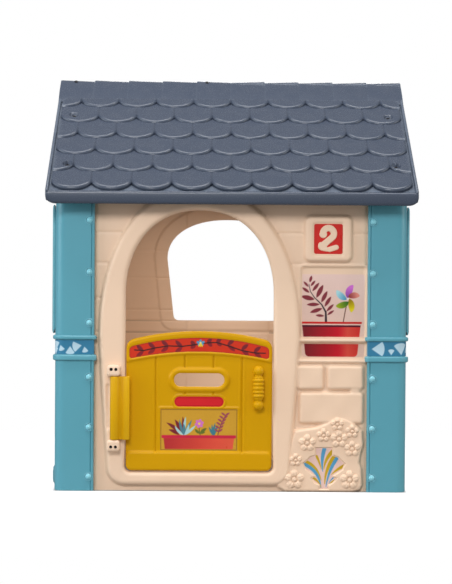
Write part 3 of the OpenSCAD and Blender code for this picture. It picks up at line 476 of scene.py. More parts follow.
MOULDED = moulded_group()
print("node group:", MOULDED.name)

# %% Materials that use it
def principled(name):
    material = bpy.data.materials.new(name)
    material.use_nodes = True
    return material, material.node_tree, material.node_tree.nodes["Principled BSDF"]


def bumped(tree, shader, height, distance, strength=0.5):
    bump = node(tree, "ShaderNodeBump")
    bump.inputs["Distance"].default_value = distance
    bump.inputs["Strength"].default_value = strength
    tree.links.new(height, bump.inputs["Height"])
    tree.links.new(bump.outputs["Normal"], shader.inputs["Normal"])


def plastic(name, rgb, edge_rgb, roughness=0.42, edge=0.35, mottle=0.08, dust=0.08, coat=0.0,
            grain=0.00012, shine=0.4):
    material, tree, shader = principled(name)
    group = node(tree, "ShaderNodeGroup", node_tree=MOULDED)
    group.inputs["Colour"].default_value = (*linear(rgb), 1)
    group.inputs["Pale edge"].default_value = (*linear(edge_rgb), 1)
    for key, value in (("Edge amount", edge), ("Mottle", mottle), ("Dust", dust),
                       ("Roughness", roughness)):
        group.inputs[key].default_value = value
    tree.links.new(group.outputs["Colour"], shader.inputs["Base Color"])
    tree.links.new(group.outputs["Roughness"], shader.inputs["Roughness"])
    shader.inputs["Specular IOR Level"].default_value = shine
    shader.inputs["Coat Weight"].default_value = coat
    shader.inputs["Coat Roughness"].default_value = 0.25
    bumped(tree, shader, group.outputs["Height"], grain)
    return material


WALL = plastic("beige_wall_plastic", (236, 204, 176), (252, 232, 214), 0.46, 0.4)
POST = plastic("teal_post_plastic", (88, 156, 172), (150, 204, 216), 0.31, 0.45)
ROOF = plastic("slate_roof_plastic", (62, 70, 85), (128, 138, 152), 0.26, 0.30, mottle=0.03,
               dust=0.02)
DOOR = plastic("mustard_door_plastic", (206, 152, 0), (232, 190, 40), 0.36, 0.4, dust=0.02,
               shine=0.12)
PIN = plastic("teal_pin_plastic", (128, 198, 212), (190, 230, 236), 0.20, 0.3)
SHUTTER = plastic("teal_shutter_plastic", (88, 156, 170), (150, 204, 214), 0.36, 0.45)
print("plastics:", [m.name for m in (WALL, POST, ROOF, DOOR, PIN, SHUTTER)])

# %% [markdown]
# Printed film takes its colour from the mesh: each leaf and petal carries its ink as a colour
# attribute. The material adds the ink's slight unevenness and the film's gloss.

# %% Printed film and metals
def film(name, roughness=0.30):
    material, tree, shader = principled(name)
    ink = node(tree, "ShaderNodeAttribute", attribute_name="print")
    coord = node(tree, "ShaderNodeTexCoord").outputs["Object"]
    speckle = noise(tree, coord, 420.0, 2.0)
    cloud = noise(tree, coord, 22.0, 2.0)
    tone = maths(tree, "ADD", 0.90, maths(tree, "MULTIPLY", maths(tree, "ADD", speckle, cloud), 0.10))
    base = node(tree, "ShaderNodeVectorMath", operation="SCALE")
    tree.links.new(ink.outputs["Color"], base.inputs[0])
    tree.links.new(tone, base.inputs["Scale"])
    tree.links.new(base.outputs["Vector"], shader.inputs["Base Color"])
    rough = maths(tree, "ADD", roughness - 0.06, maths(tree, "MULTIPLY", cloud, 0.12))
    tree.links.new(rough, shader.inputs["Roughness"])
    shader.inputs["Specular IOR Level"].default_value = 0.3
    bumped(tree, shader, speckle, 0.00004)
    return material


def metal(name, rgb, roughness, metallic=1.0):
    material, tree, shader = principled(name)
    coord = node(tree, "ShaderNodeTexCoord").outputs["Object"]
    scratches = noise(tree, coord, 700.0, 3.0, 0.7)
    patches = noise(tree, coord, 60.0, 2.0)
    colour = mix(tree, ramp(tree, patches, 0.35, 0.75), (*linear(rgb), 1),
                 (*[c * 0.7 for c in linear(rgb)], 1))
    tree.links.new(colour, shader.inputs["Base Color"])
    shader.inputs["Metallic"].default_value = metallic
    rough = maths(tree, "ADD", roughness, maths(tree, "MULTIPLY", scratches, 0.15))
    tree.links.new(rough, shader.inputs["Roughness"])
    bumped(tree, shader, scratches, 0.00005)
    return material


FILM = film("printed_film")
BLACK_ZINC = metal("black_zinc", (24, 24, 28), 0.5, 0.3)
ZINC = metal("bright_zinc", (188, 188, 186), 0.28)
print("materials:", sorted(m.name for m in bpy.data.materials))

# %% [markdown]
# ## The roof
# Each slope is one moulding: a sheet with six rows of round-edged shingles, a thick rolled eave, a rib
# along each verge and half of the ridge's tiles. The shingles are built row by row. A shingle's
# cross-section, from its rolled lower lip up to where the next row covers it, is carried sideways along
# the round edge. That gives crisp lips and the deep notch between two shingles.

# %% The slope's own frame
RIDGE_Z = cad_box[1][2] / MM
PANEL_W = 2 * (cad_box[1][0] / MM)
EAVE_Y, EAVE_Z = box_mm("front_roof_panel")[0][1:]
EAVE_RUN = -EAVE_Y
EAVE_BOARD_H = 27.0
RIDGE_RISE = 16.0
RIDGE_REACH = 73.0
SHEET_Z = EAVE_Z + EAVE_BOARD_H
PITCH = math.atan2(RIDGE_Z - RIDGE_RISE - SHEET_Z, EAVE_RUN)
SLOPE = EAVE_RUN / math.cos(PITCH)
print("pitch", round(math.degrees(PITCH), 1), "slope", round(SLOPE), "width", round(PANEL_W))


def on_slope(points, turned_round):
    """x along the eave, v up the slope and w square to it, for the front or the rear slope."""
    p = np.asarray(points, float)
    y = -EAVE_RUN + p[:, 1] * math.cos(PITCH) - p[:, 2] * math.sin(PITCH)
    z = SHEET_Z + p[:, 1] * math.sin(PITCH) + p[:, 2] * math.cos(PITCH)
    sign = -1 if turned_round else 1
    return np.stack([sign * p[:, 0], sign * y, z], 1)


def turned_half(points, turned_round):
    p = np.asarray(points, float)
    return p * ((-1, -1, 1) if turned_round else (1, 1, 1))


# %% One row of shingles
SHINGLE_ROWS, SHINGLES_ACROSS = 6, 9
VERGE_MARGIN, SHINGLE_MARGIN = 13.0, 10.0
LOBE_DEPTH = 31.0
LOBE_PITCH = (PANEL_W - 2 * VERGE_MARGIN) / SHINGLES_ACROSS
LOBE_R = ((LOBE_PITCH / 2) ** 2 + LOBE_DEPTH ** 2) / (2 * LOBE_DEPTH)
RIDGE_FOOT = SLOPE - RIDGE_REACH / math.cos(PITCH)
EXPOSURE = (RIDGE_FOOT - SHINGLE_MARGIN - LOBE_DEPTH - 8) / (SHINGLE_ROWS - 1)
# The shingle's cross-section: how far up the slope from its lip, and how high
SHINGLE_LIP = [(0.6, -1.0), (0.0, 1.6), (-0.4, 4.0), (0.2, 6.4), (1.8, 8.6), (4.4, 10.1), (8.0, 10.8)]
SHINGLE_SECTION = SHINGLE_LIP + [(p, 10.8 - 0.085 * (p - 12)) for p in range(12, 119, 5)]
# Screws sit in round pockets near the verges
POCKET_X, POCKET_R = 427.0, 10.5
POCKET_V = (0.23 * SLOPE, 0.685 * SLOPE)
POCKET_GRID = (-13, -12, -11, -10, -8, -4, 0, 4, 8, 10, 11, 12, 13)


def shingle_row(row):
    low = SHINGLE_MARGIN + row * EXPOSURE
    half = PANEL_W / 2 - VERGE_MARGIN
    count = SHINGLES_ACROSS + row % 2
    xs = []
    for i in range(count):
        mid = (i - (count - 1) / 2) * LOBE_PITCH
        xs += [mid + LOBE_PITCH / 2 * t for t in
               (-1, -0.985, -0.96, -0.9, -0.8, -0.65, -0.5, -0.33, -0.17, 0, 0.17, 0.33, 0.5, 0.65,
                0.8, 0.9, 0.96, 0.985)]
    xs += [side * POCKET_X + t for side in (-1, 1) for t in POCKET_GRID]
    xs = sorted({min(max(x, -half), half) for x in xs} | {-half, half})
    points, n = [], len(SHINGLE_SECTION)
    for x in xs:
        shift = 0.5 * LOBE_PITCH * ((count + 1) % 2)
        dx = (x - shift + LOBE_PITCH / 2) % LOBE_PITCH - LOBE_PITCH / 2
        lip = low + LOBE_R - math.sqrt(LOBE_R ** 2 - dx ** 2)
        side = LOBE_PITCH / 2 - abs(dx)
        end = half - abs(x)
        seam = 1 - 0.30 * math.exp(-(side / 2.2) ** 2) - 0.10 * math.exp(-(end / 3.0) ** 2)
        lean = abs(dx) / LOBE_R
        for p, w in SHINGLE_SECTION:
            # the lip leans back a little towards the notch, and the top stops under the next row
            v = min(lip + p * (1 + 0.3 * lean * (p < 10)), low + EXPOSURE + LOBE_DEPTH + 6,
                    RIDGE_FOOT + 6)
            fade = seam if w > 0 else 1
            away = min(math.hypot(abs(x) - POCKET_X, v - pv) for pv in POCKET_V)
            if away < POCKET_R + 2 and w > 0:
                fade *= max(0.05, min(1, (away - POCKET_R + 1) / 3)) if away > POCKET_R - 1 else 0.05
            points.append((x, v, w * fade))
    faces = []
    for i in range(len(xs) - 1):
        for j in range(n - 1):
            a = i * n + j
            faces.append((a, a + 1, a + n + 1, a + n))
    ends = [tuple(range(n)), tuple(len(points) - n + j for j in range(n))]
    return points, faces + ends


print("a row of shingles:", len(shingle_row(0)[1]), "faces")

# %% Sweep a closed section along a straight or sloping line
def along_x(section, stations):
    """section is a ring of (y, z); stations are (x, scale, lift): the ring shrinks and lifts there."""
    cy = sum(p[0] for p in section) / len(section)
    cz = sum(p[1] for p in section) / len(section)
    rings = [[(x, cy + (y - cy) * s, cz + (z - cz) * s + lift) for y, z in section]
             for x, s, lift in stations]
    return loft(rings)


def rounded_section(y0, y1, z0, z1, r, steps=5):
    ring = []
    corners = ((y1 - r, z1 - r, 0), (y0 + r, z1 - r, 90), (y0 + r, z0 + r, 180), (y1 - r, z0 + r, 270))
    for cy, cz, start in corners:
        for i in range(steps + 1):
            a = math.radians(start + 90 * i / steps)
            ring.append((cy + r * math.cos(a), cz + r * math.sin(a)))
    return ring


def eave_board(half, end_w=26.0, end_h=19.0):
    """The rolled eave, whose lower corners sweep up at both ends."""
    rings = []
    ends = (0, 0.7, 2, 4, 7, 11, 16, 21, 26)
    for x, end in [(-half + e, e) for e in ends] + [(half - e, e) for e in reversed(ends)]:
        t, u = max(0.0, 1 - end / end_w), max(0.0, 1 - end / 4)
        lift = end_h * (1 - math.sqrt(1 - t * t))
        inset = 3.2 * (1 - math.sqrt(1 - u * u))
        ring = rounded_section(-EAVE_RUN + inset, -EAVE_RUN + 15, EAVE_Z + lift, SHEET_Z + 7 - inset,
                               min(7.0, 7.4 - inset))
        rings.append([(x, y, z) for y, z in ring])
    return loft(rings)


print("eave board:", len(eave_board(PANEL_W / 2)[1]), "faces")

# %% Ridge tiles, verges, eave and sheet
RIDGE_TILES = 10
RIDGE_LAP = 10.0
TAN = math.tan(PITCH)


def sheet_top(y):
    return SHEET_Z + (EAVE_RUN - abs(y)) * TAN


def ridge_ring(lift, over):
    """A ridge tile's section on one slope; where it laps over the ridge it ends as a thin lip."""
    y, top = -RIDGE_REACH, RIDGE_RISE + lift
    ring = [(y - 6, sheet_top(y - 6) - 3), (y - 8, sheet_top(y - 8) + top * 0.38),
            (y - 3, sheet_top(y - 3) + top * 0.52), (y + 6, sheet_top(y + 6) + top * 0.69),
            (y + 17, sheet_top(y + 17) + top * 0.87), (y + 30, sheet_top(y + 30) + top),
            (-24, sheet_top(24) + top)]
    if over:
        ring += [(-8, sheet_top(8) + top), (-3.5, sheet_top(3.5) + top - 0.6),
                 (0, sheet_top(0) + top - 1.6), (3.5, sheet_top(3.5) + top - 0.6),
                 (RIDGE_LAP - 1.5, sheet_top(RIDGE_LAP - 1.5) + top),
                 (RIDGE_LAP, sheet_top(RIDGE_LAP) + top - 1.5),
                 (RIDGE_LAP, sheet_top(RIDGE_LAP) + top - 5), (0, sheet_top(0) + top - 6)]
    else:
        ring += [(-16, sheet_top(16) + top), (-12.0, sheet_top(12.0) + top - 0.3),
                 (-RIDGE_LAP - 0.6, sheet_top(RIDGE_LAP) + top - 1.6),
                 (-RIDGE_LAP - 0.5, sheet_top(RIDGE_LAP) + top - 5.4),
                 (-4, sheet_top(4) + top - 5.6), (-2, sheet_top(2) + top - 5.8),
                 (-0.6, sheet_top(0.6) + top - 6.2), (-0.5, sheet_top(0) + top - 7)]
    return ring + [(-0.5, sheet_top(0) - 3)]


print("ridge tile section:", len(ridge_ring(0, True)), "points")


# %% Put a slope together
def roof_panel(name, slot_node, turned_round):
    shell = Shell()
    half = PANEL_W / 2
    for row in range(SHINGLE_ROWS):
        points, faces = shingle_row(row)
        shell.add(on_slope(points, turned_round), faces)
    sheet = [(-EAVE_RUN + 6, SHEET_Z + 3), (-0.5, sheet_top(0)), (-0.5, sheet_top(0) - 5),
             (-EAVE_RUN + 6, SHEET_Z - 3)]
    points, faces = along_x(sheet, [(-half + 4, 1, 0), (half - 4, 1, 0)])
    shell.add(turned_half(points, turned_round), faces)
    points, faces = eave_board(half)
    shell.add(turned_half(points, turned_round), faces)
    for side in (-1, 1):
        rib = rounded_section(-4.0, 4.0, -28, 8, 3.9)
        outer = side * (half - 4.0)
        rings = [[(outer + x * s, v, w * s) for x, w in rib] for v, s in
                 ((2.0, 0.4), (3.5, 0.8), (7.0, 1.0), (RIDGE_FOOT + 12, 1.0))]
        points, faces = loft(rings)
        shell.add(on_slope(points, turned_round), faces)
        board = [(-RIDGE_REACH - 6, sheet_top(RIDGE_REACH + 6)), (-0.5, sheet_top(0)),
                 (-0.5, sheet_top(0) - 34), (-RIDGE_REACH - 6, sheet_top(RIDGE_REACH + 6) - 34)]
        points, faces = along_x(board, sorted([(side * (half - 8), 1, 0), (side * half, 1, 0)]))
        shell.add(turned_half(points, turned_round), faces)
    tile = PANEL_W / RIDGE_TILES
    for i in range(RIDGE_TILES):
        x0 = -half + i * tile
        over = i < RIDGE_TILES // 2
        rings = []
        for t, lift in ((0.0, 1.6), (0.012, 2.6), (0.03, 3.0), (0.5, 1.4), (0.96, 0.0), (1.0, -0.4)):
            rings.append([(x0 + t * tile, y, z) for y, z in ridge_ring(lift - 1.5, over)])
        points, faces = loft(rings)
        shell.add(turned_half(points, turned_round), faces)
    return shell.piece(name, "house", "roof_plastic", ROOF, (slot_node,), crisp=50)


roof_panel("front_slope", "front_roof_panel", False)
roof_panel("rear_slope", "rear_roof_panel", True)

# %% [markdown]
# ## The front wall
# One moulding again: planks, a fat surround round the doorway, a plinth for the number, a shallow niche
# with two rails, three stones and a flower bed. All of it is one field of depths, so that every foot has
# a fillet and every edge the same soft round as the real moulding.

# %% Outlines of the front wall, from the CAD's labels
header_low, header_high = box_mm("door_header_label")
DOORWAY_X = (header_low[0] + header_high[0]) / 2
DOORWAY_W = header_high[0] - header_low[0] + 22
SILL_Z = box_mm("door")[0][2] - 3
DOORWAY = arch_outline(DOORWAY_X, DOORWAY_W / 2, DOORWAY_W / 2, 503, 222, SILL_Z, 14)
SURROUND_RAISE = 18.0
SURROUND = arch_outline(DOORWAY_X, 261, 239, 392, 393, 13, 48)
PLINTH_X, _, PLINTH_Z = middle("number_label")
FERN_X, _, FERN_Z = middle("fern_label")
FIELD_LEFT = DOORWAY_X + 261 - 6
NICHE_Z, NICHE_TOP = 341.0, 585.0
NICHE_MID = (FIELD_LEFT + FRONT_FIELD) / 2
NICHE_W = FRONT_FIELD - FIELD_LEFT
STONES_LEFT, STONES_RIGHT = FIELD_LEFT + 3, FRONT_FIELD - 7
STONE_SPLIT = STONES_LEFT + 0.385 * (STONES_RIGHT - STONES_LEFT)
# The flower bed's outline and its flowers, from the right post's edge and the ground
BED = [(-10, 18), (-12, 60), (-18, 75), (-14, 101), (-8, 121), (-11, 156), (-38, 183), (-62, 192),
       (-90, 188), (-103, 178), (-130, 167), (-186, 158), (-204, 99), (-232, 28), (-228, 12),
       (-209, 0), (-35, 0), (-16, 6)]
BED_OUTLINE = [(FRONT_FIELD + px, pz) for px, pz in BED]
FLOWERS = [(-153, 126, 20), (-111, 146, 16), (-76, 175, 16), (-71, 137, 21), (-37, 157, 16),
           (-37, 112, 19), (-183, 82, 15), (-186, 32, 23), (-43, 31, 22)]
FERN_HALF = [(0, 57), (23, 57), (23, 37), (36, 33), (55, 15), (48, -1), (24, -17), (34, -23),
             (23, -36), (12, -41), (13, -52), (0, -52)]
FERN = ([(FERN_X + px, FERN_Z - 3 + pz) for px, pz in FERN_HALF]
        + [(FERN_X - px, FERN_Z - 3 + pz) for px, pz in reversed(FERN_HALF)])
print("doorway at", DOORWAY_X, "plinth at", PLINTH_X, PLINTH_Z)


# %% Planks with soft seams
def raised(d, height):
    """Where something stands up from the wall's face, the depth is the nearer of the two."""
    return np.where(height > 0.01, np.minimum(d, WALL_FACE - height), d)


def planks(x, z, seams, field, crown=0.5):
    """Depth of a planked sheet: a seam at each height, and a bevel where the field meets the posts."""
    d = np.full(x.shape, WALL_FACE)
    edges = [0.0, *seams, 2000.0]
    for low, high in zip(edges, edges[1:]):
        on = (z >= low) & (z < high)
        near = np.minimum(z - low, high - z)
        near = np.where(low == 0, high - z, near)
        d = np.where(on, d - crown * (1 - np.exp(-near / 12)), d)
    for seam in seams:
        d = d + 3.2 * groove(z - seam, 5.6)
    return d + 3.0 * (1 - roll(np.abs(x) - (field - 3), 6))


def flower_height(x, z, cx, cz, size):
    """How far a five-petalled flower stands up: domed petals round a button."""
    r = np.hypot(x - cx, z - cz)
    a = np.arctan2(z - cz, x - cx) - math.radians(18)
    petal = (a + math.pi / 5) % (2 * math.pi / 5) - math.pi / 5
    u, v = r * np.cos(petal) - 0.60 * size, r * np.sin(petal)
    body = np.clip(1 - (u / (0.42 * size)) ** 2 - (v / (0.40 * size)) ** 2, 0, 1)
    petals = 6.2 * body ** 0.6 * (1 - 0.22 * np.exp(-(v / (0.05 * size)) ** 2))
    ring = -1.8 * np.exp(-((r - 0.30 * size) / (0.07 * size)) ** 2)
    button = 5.4 * np.sqrt(np.clip(1 - (r / (0.27 * size)) ** 2, 0, 1))
    return np.maximum(petals + ring * (body > 0), button)


print("a flower's button stands", round(float(flower_height(0.0, 0.0, 0, 0, 20)), 1), "mm high")

# %% Depth of the front wall
FRONT_SEAMS = (410, 498, 588, 667)
STONE_FOOT, STONE_MIDDLE = 216.5, 295


def front_depth(x, z, bed_drop=1.6):
    d = planks(x, z, FRONT_SEAMS, FRONT_FIELD, 0.6)
    surround = outline_sd(x, z, SURROUND)
    # niche: a framed recess whose frame stands up a little
    niche = np.maximum(box_sd(x, z, NICHE_MID + 2, (NICHE_Z + NICHE_TOP) / 2,
                              NICHE_W - 8, NICHE_TOP - NICHE_Z - 6, 9), -surround)
    d = raised(d, 1.8 * roll(niche - 7, 4))
    d = d + 7.6 * roll(niche, 5)
    for rail_z, rail_h in ((NICHE_Z - 3.5, 13.0), (391.0, 14.0)):
        rail = np.maximum(box_sd(x, z, NICHE_MID, rail_z, NICHE_W + 8, rail_h, 5), -surround - 6)
        d = np.where(rail < 0, np.minimum(d, WALL_FACE + 4 - 13.0 * roll(rail, 5.5)), d)
    # stones
    stones = [
        box_sd(x, z, (STONES_LEFT - 6 + STONE_SPLIT) / 2, STONE_MIDDLE,
               STONE_SPLIT - STONES_LEFT + 6, 64, 9),
        box_sd(x, z, (STONE_SPLIT + 8 + STONES_RIGHT) / 2, STONE_MIDDLE,
               STONES_RIGHT - STONE_SPLIT - 8, 64, 9),
        box_sd(x, z, (STONES_LEFT + STONES_RIGHT) / 2, STONE_FOOT, STONES_RIGHT - STONES_LEFT, 83, 9),
        box_sd(x, z, STONES_RIGHT - 22, 262, 27, 18, 5),
    ]
    stone_field = np.full(x.shape, 0.0)
    for i, s in enumerate(stones):
        rough = 0.8 * np.sin(x / 13 + i) * np.sin(z / 17 + 2 * i)
        stone_field = np.maximum(stone_field, (11.0 - 2.0 * (i == 3) + rough) * roll(s, 7))
    d = raised(d, stone_field)
    # flower bed
    bed = outline_sd(x, z, BED_OUTLINE) - 2
    high = 14.0 * roll(bed, 9)
    fern = outline_sd(x, z, FERN) - 1
    bump = np.zeros(x.shape)
    for fx, fz, size in FLOWERS:
        bump = np.maximum(bump, flower_height(x, z, FRONT_FIELD + fx, fz, size * 1.12))
    high = np.where(bump > 0.05, np.maximum(high, 9.5) + bump, high)
    high = high - 4.2 * roll(fern, 4) - bed_drop * (high > 2)
    d = raised(d, high)
    # number plinth
    plinth = box_sd(x, z, PLINTH_X, PLINTH_Z, 125, 120, 17)
    d = raised(d, 15 * roll(plinth, 9))
    field = box_sd(x, z, PLINTH_X, PLINTH_Z, 81, 84, 7)
    d = d + 5.2 * roll(field, 3)
    # surround, whose inner edge rolls in to the doorway
    door = outline_sd(x, z, DOORWAY)
    face = SURROUND_RAISE * roll(surround, 13) - 9.0 * (1 - roll(-door, 10)) * (door < 14)
    d = np.where(surround < 0, np.minimum(d, WALL_FACE - face), d)
    # shallow pocket behind the hinge
    pocket = box_sd(x, z, DOORWAY_X - DOORWAY_W / 2 - 42, 217, 12, 116, 5)
    return d + 3.0 * roll(pocket, 3)


print("depth above the door, beside the arch:",
      round(float(front_depth(np.array([[150.0]]), np.array([[640.0]]))[0, 0]), 1))

# %% Mesh the front wall
front_xs = np.concatenate([[-384, -376, -368, -360], spaced(-352, 352, 2.0), [360, 368, 376, 384]])
front_wall = Shell()
front_wall.add(*relief(front_xs, spaced(0, WALL_H, 2.0), front_depth,
                       lambda x, z: outline_sd(x, z, DOORWAY), WALL_BACK + 4, soften=2), "front")

# the flower bed again on a finer grid, so that every petal is crisp
front_wall.add(*relief(spaced(FRONT_FIELD - 236, FRONT_FIELD, 1.2), spaced(0, 194, 1.2),
                       lambda x, z: front_depth(x, z, 0.0) - 0.3,
                       lambda x, z: 1.5 - outline_sd(x, z, BED_OUTLINE), WALL_FACE + 2), "front")
print("front wall:", len(front_wall.faces), "faces before its numeral")

# %% [markdown]
# ## The house number
# The number is a fat plain 2 moulded on its plinth, with red film round it. A text object could be
# extruded, but it would need a font; a few rounded strokes give the same numeral and roll over at
# their edges like the rest of the moulding.

# %% The numeral stands up in its red field
def numeral_sd(x, z):
    """A fat 2: a round head, a slanted neck and a foot with a curl."""
    x, z = x - PLINTH_X, z - PLINTH_Z
    r, stroke = 14.0, 8.6
    angle = np.degrees(np.arctan2(z - 14, x))
    on_arc = (angle > -48) | (angle < -168)
    head = np.where(on_arc, np.abs(np.hypot(x, z - 14) - r) - stroke, 99.0)
    tip = np.minimum(disc_sd(x, z, -r + 0.5, 12, stroke + 1.5),
                     bar_sd(x, z, r * math.cos(-0.84), 14 + r * math.sin(-0.84), -15, -17, stroke))
    curl = np.where((x < -4) & (z < -8), np.abs(np.hypot(x + 14, z + 18) - 8.5) - 4.4, 99.0)
    foot = bar_sd(x, z, -12, -25.5, 3, -27.5, 6.0)
    foot = np.minimum(foot, bar_sd(x, z, 3, -27.0, 20, -21.5, 7.0))
    return np.minimum(np.minimum(np.minimum(head, tip), foot), curl)


FIELD_FACE = WALL_FACE - 15 + 5
numeral_grid = (spaced(PLINTH_X - 38, PLINTH_X + 38, 0.8), spaced(PLINTH_Z - 40, PLINTH_Z + 40, 0.8))
front_wall.add(*relief(*numeral_grid, lambda x, z: FIELD_FACE - 3.4 * roll(numeral_sd(x, z), 2.2) + 0.5,
                       lambda x, z: -numeral_sd(x, z), FIELD_FACE + 2), "front")
front_wall.piece("door_side_wall", "house", "wall_plastic", WALL, ("front_wall",))

# %% [markdown]
# ## The other walls
# The back wall has an arched window in a wide moulded surround; the side walls fill the gables and have
# a shuttered window each. They use the same relief, with other outlines. A gable's outline follows the
# underside of the roof.
#
# Its inside is seen through the doorway, so its rear face gets planks and a frame of its own. It could
# be one solid with two reliefs, but two thin panels back to back are simpler and give the same view.

# %% The back wall
BACK_WINDOW = arch_outline(0, 183, 164, 606, 118, 420, 16)
BACK_SURROUND = arch_outline(0, 183 + 56, 164 + 56, 606, 118 + 56, 420 - 56, 60)
BACK_SEAMS = (384, 418, 452, 548, 630)
SIDE_SEAMS = (384, 418, 498, 588, 667, 750, 836, 922)


def back_depth(x, z):
    d = planks(x, z, BACK_SEAMS, FRONT_FIELD, 0.6)
    panel = box_sd(x, z, 0, WALL_H / 2, 260, WALL_H - 40, 14)
    d = raised(d, 6 * roll(panel, 6))
    surround = outline_sd(x, z, BACK_SURROUND)
    window = outline_sd(x, z, BACK_WINDOW)
    face = 12 * roll(surround, 12) - 6.0 * (1 - roll(-window, 8)) * (window < 10)
    sill = box_sd(x, z, 0, 398, 2 * 164 + 70, 26, 8)
    face = np.maximum(face, 15 * roll(sill, 8))
    return np.where(np.minimum(surround, sill) < 0, np.minimum(d, WALL_FACE - face), d)


wall_xs = np.concatenate([[-384, -372, -360], spaced(-352, 352, 3.0), [360, 372, 384]])
back_wall = Shell()
back_wall.add(*relief(wall_xs, spaced(0, WALL_H, 3.0), back_depth,
                      lambda x, z: outline_sd(x, z, BACK_WINDOW), WALL_BACK, soften=1), "back")
print("back wall:", len(back_wall.faces), "faces before its inner face")

# %% The back wall's inner face
def inner_depth(x, z):
    """It shows through the doorway: its window frame, a pilaster and its planks."""
    d = np.zeros(x.shape)
    for seam in BACK_SEAMS:
        d = d - 1.6 * groove(z - seam, 6)
    frame_sd = outline_sd(x, z, arch_outline(0, 183 + 40, 164 + 40, 606, 118 + 44, 420 - 30, 40))
    d = d + 3.0 * roll(frame_sd, 6)
    return d + 2.0 * roll(box_sd(x, z, 0, WALL_H / 2, 250, WALL_H, 10), 5)


back_wall.add(*relief(spaced(-345, 345, 3.0), spaced(4, WALL_H - 30, 3.0),
                      lambda x, z: WALL_BACK + 0.5 + inner_depth(x, z),
                      lambda x, z: outline_sd(x, z, BACK_WINDOW), WALL_BACK - 1), "back")
back_wall.piece("back_side_wall", "house", "wall_plastic", WALL, ("back_wall",))

# %% [markdown]
# ## The gable walls
# A side wall runs up under the roof. Both sides are the same moulding, so the mesh is made once and
# placed twice. Lugs beside the window carry the pins that the shutters turn on.

# %% The gable walls
SIDE_WINDOW = arch_outline(0, 156, 142, 606, 118, 420, 16)
SIDE_SURROUND = arch_outline(0, 156 + 34, 142 + 34, 606, 118 + 34, 420 - 34, 40)
GABLE_BROW = HOUSE_D / 2 - 12
ROOF_SKIN = 4.3


def under_roof(x):
    return sheet_top(x) - ROOF_SKIN / math.cos(PITCH)


def gable_sd(x, z):
    """Negative inside the gable wall."""
    reach = SIDE_FIELD + 33
    body = box_sd(x, z, 0, (WALL_H - 55) / 2, 2 * reach, WALL_H - 55)
    slope = (z - under_roof(0) + np.abs(x) * TAN) * math.cos(PITCH)
    upper = np.maximum(np.maximum(slope, np.abs(x) - GABLE_BROW), WALL_H - 56 - z)
    return np.minimum(body, upper)


def side_depth(x, z):
    d = planks(x, z, SIDE_SEAMS, SIDE_FIELD, 0.6)
    d = np.where(z > WALL_H - 60, np.minimum(d, WALL_FACE + 1.5), d)
    surround = outline_sd(x, z, SIDE_SURROUND)
    window = outline_sd(x, z, SIDE_WINDOW)
    face = 6 * roll(surround, 6) - 3.0 * (1 - roll(-window, 5)) * (window < 7)
    d = np.where(surround < 0, np.minimum(d, WALL_FACE - face), d)
    # a round boss with a ring, high in the gable
    boss = disc_sd(x, z, 0, 870, 52)
    ring = np.abs(np.hypot(x, z - 870) - 40) - 6
    return raised(d, 4 * roll(boss, 5)) - 3 * roll(ring, 4)


gable_xs = np.concatenate([spaced(-380, -292, 6.0), spaced(-288, 288, 3.2), spaced(292, 380, 6.0)])


def gable_keep(x, z):
    return np.minimum(-gable_sd(x, z), outline_sd(x, z, SIDE_WINDOW))


print("the gable reaches", round(under_roof(0)), "mm")

# %% Mesh the gable walls, with lugs for the shutters' pins
gable_mesh = relief(gable_xs, spaced(0, 1075, 3.2), side_depth, gable_keep, WALL_BACK, soften=1)


def lug_blocks(side_wall):
    """Lugs at the window's sides that carry the shutters' pins."""
    for end in (-1, 1):
        for low in (444, 600):
            x = end * 176.5
            side_wall.add(*turned([(3.6, 0), (4.5, 0.8), (4.5, 19.2), (3.6, 20)], (x, -1, low),
                                  (0, 0, 1), 20), side_wall.side)
            ring = rounded_section(x - 4.4, x + 4.4, -1, 21, 2.0, 3)
            rings = [[(px, py, z) for px, py in ring] for z in (low + 0.4, low + 19.6)]
            side_wall.add(*loft(rings), side_wall.side)


for side in ("left", "right"):
    shell = Shell()
    shell.side = side
    shell.add(*gable_mesh, side)
    lug_blocks(shell)
    rim = [(-GABLE_BROW, under_roof(GABLE_BROW) - 1), (0, under_roof(0) - 1),
           (GABLE_BROW, under_roof(GABLE_BROW) - 1), (GABLE_BROW, under_roof(GABLE_BROW) - 21),
           (0, under_roof(0) - 21), (-GABLE_BROW, under_roof(GABLE_BROW) - 21)]
    shell.add(*loft([[(x, d, z) for x, z in rim] for d in (WALL_FACE + 3, 42)]), side)
    shell.piece(f"{side}_gable_wall", "house", "wall_plastic", WALL, (f"{side}_wall",))

# %% [markdown]
# ## Corner posts
# A post is an L-shaped cover with a big round corner, held by a row of pins along each edge. A belt of two
# bars runs round it. Its section is drawn once and carried up the post, pushed out where the belt is.

# %% The post's section and how far it stands out at each height
PIN_HEIGHTS = (37, 164, 293, 433, 564, 697)
PIN_INSET = 13.0
CORNER_R = 26.0
LEG = HOUSE_W / 2 - FRONT_FIELD
BELT = ((335, 351), (389, 401))


def post_path():
    """Points and outward directions round the post, from one inner edge to the other."""
    pts = [(LEG - 0.3, WALL_FACE - 0.6, 1, 0), (LEG, 8.0, 1, 0)]
    for a in (0, 25, 50, 75, 90):
        t = math.radians(a)
        pts.append((LEG - 4 + 4 * math.cos(t), 4 - 4 * math.sin(t), math.cos(t), -math.sin(t)))
    for u in (96.5, 95.6, 94.8, 94.0, 93.2, 92.2, 89, 85, 80, 72, 62, 52, 42, 34):
        pts.append((u, 0, 0, -1))
    for a in range(0, 91, 9):
        t = math.radians(a)
        pts.append((CORNER_R - CORNER_R * math.sin(t), CORNER_R - CORNER_R * math.cos(t),
                    -math.sin(t), -math.cos(t)))
    mirrored = [(y, x, ny, nx) for x, y, nx, ny in pts[:-11]]
    return pts + mirrored[::-1]


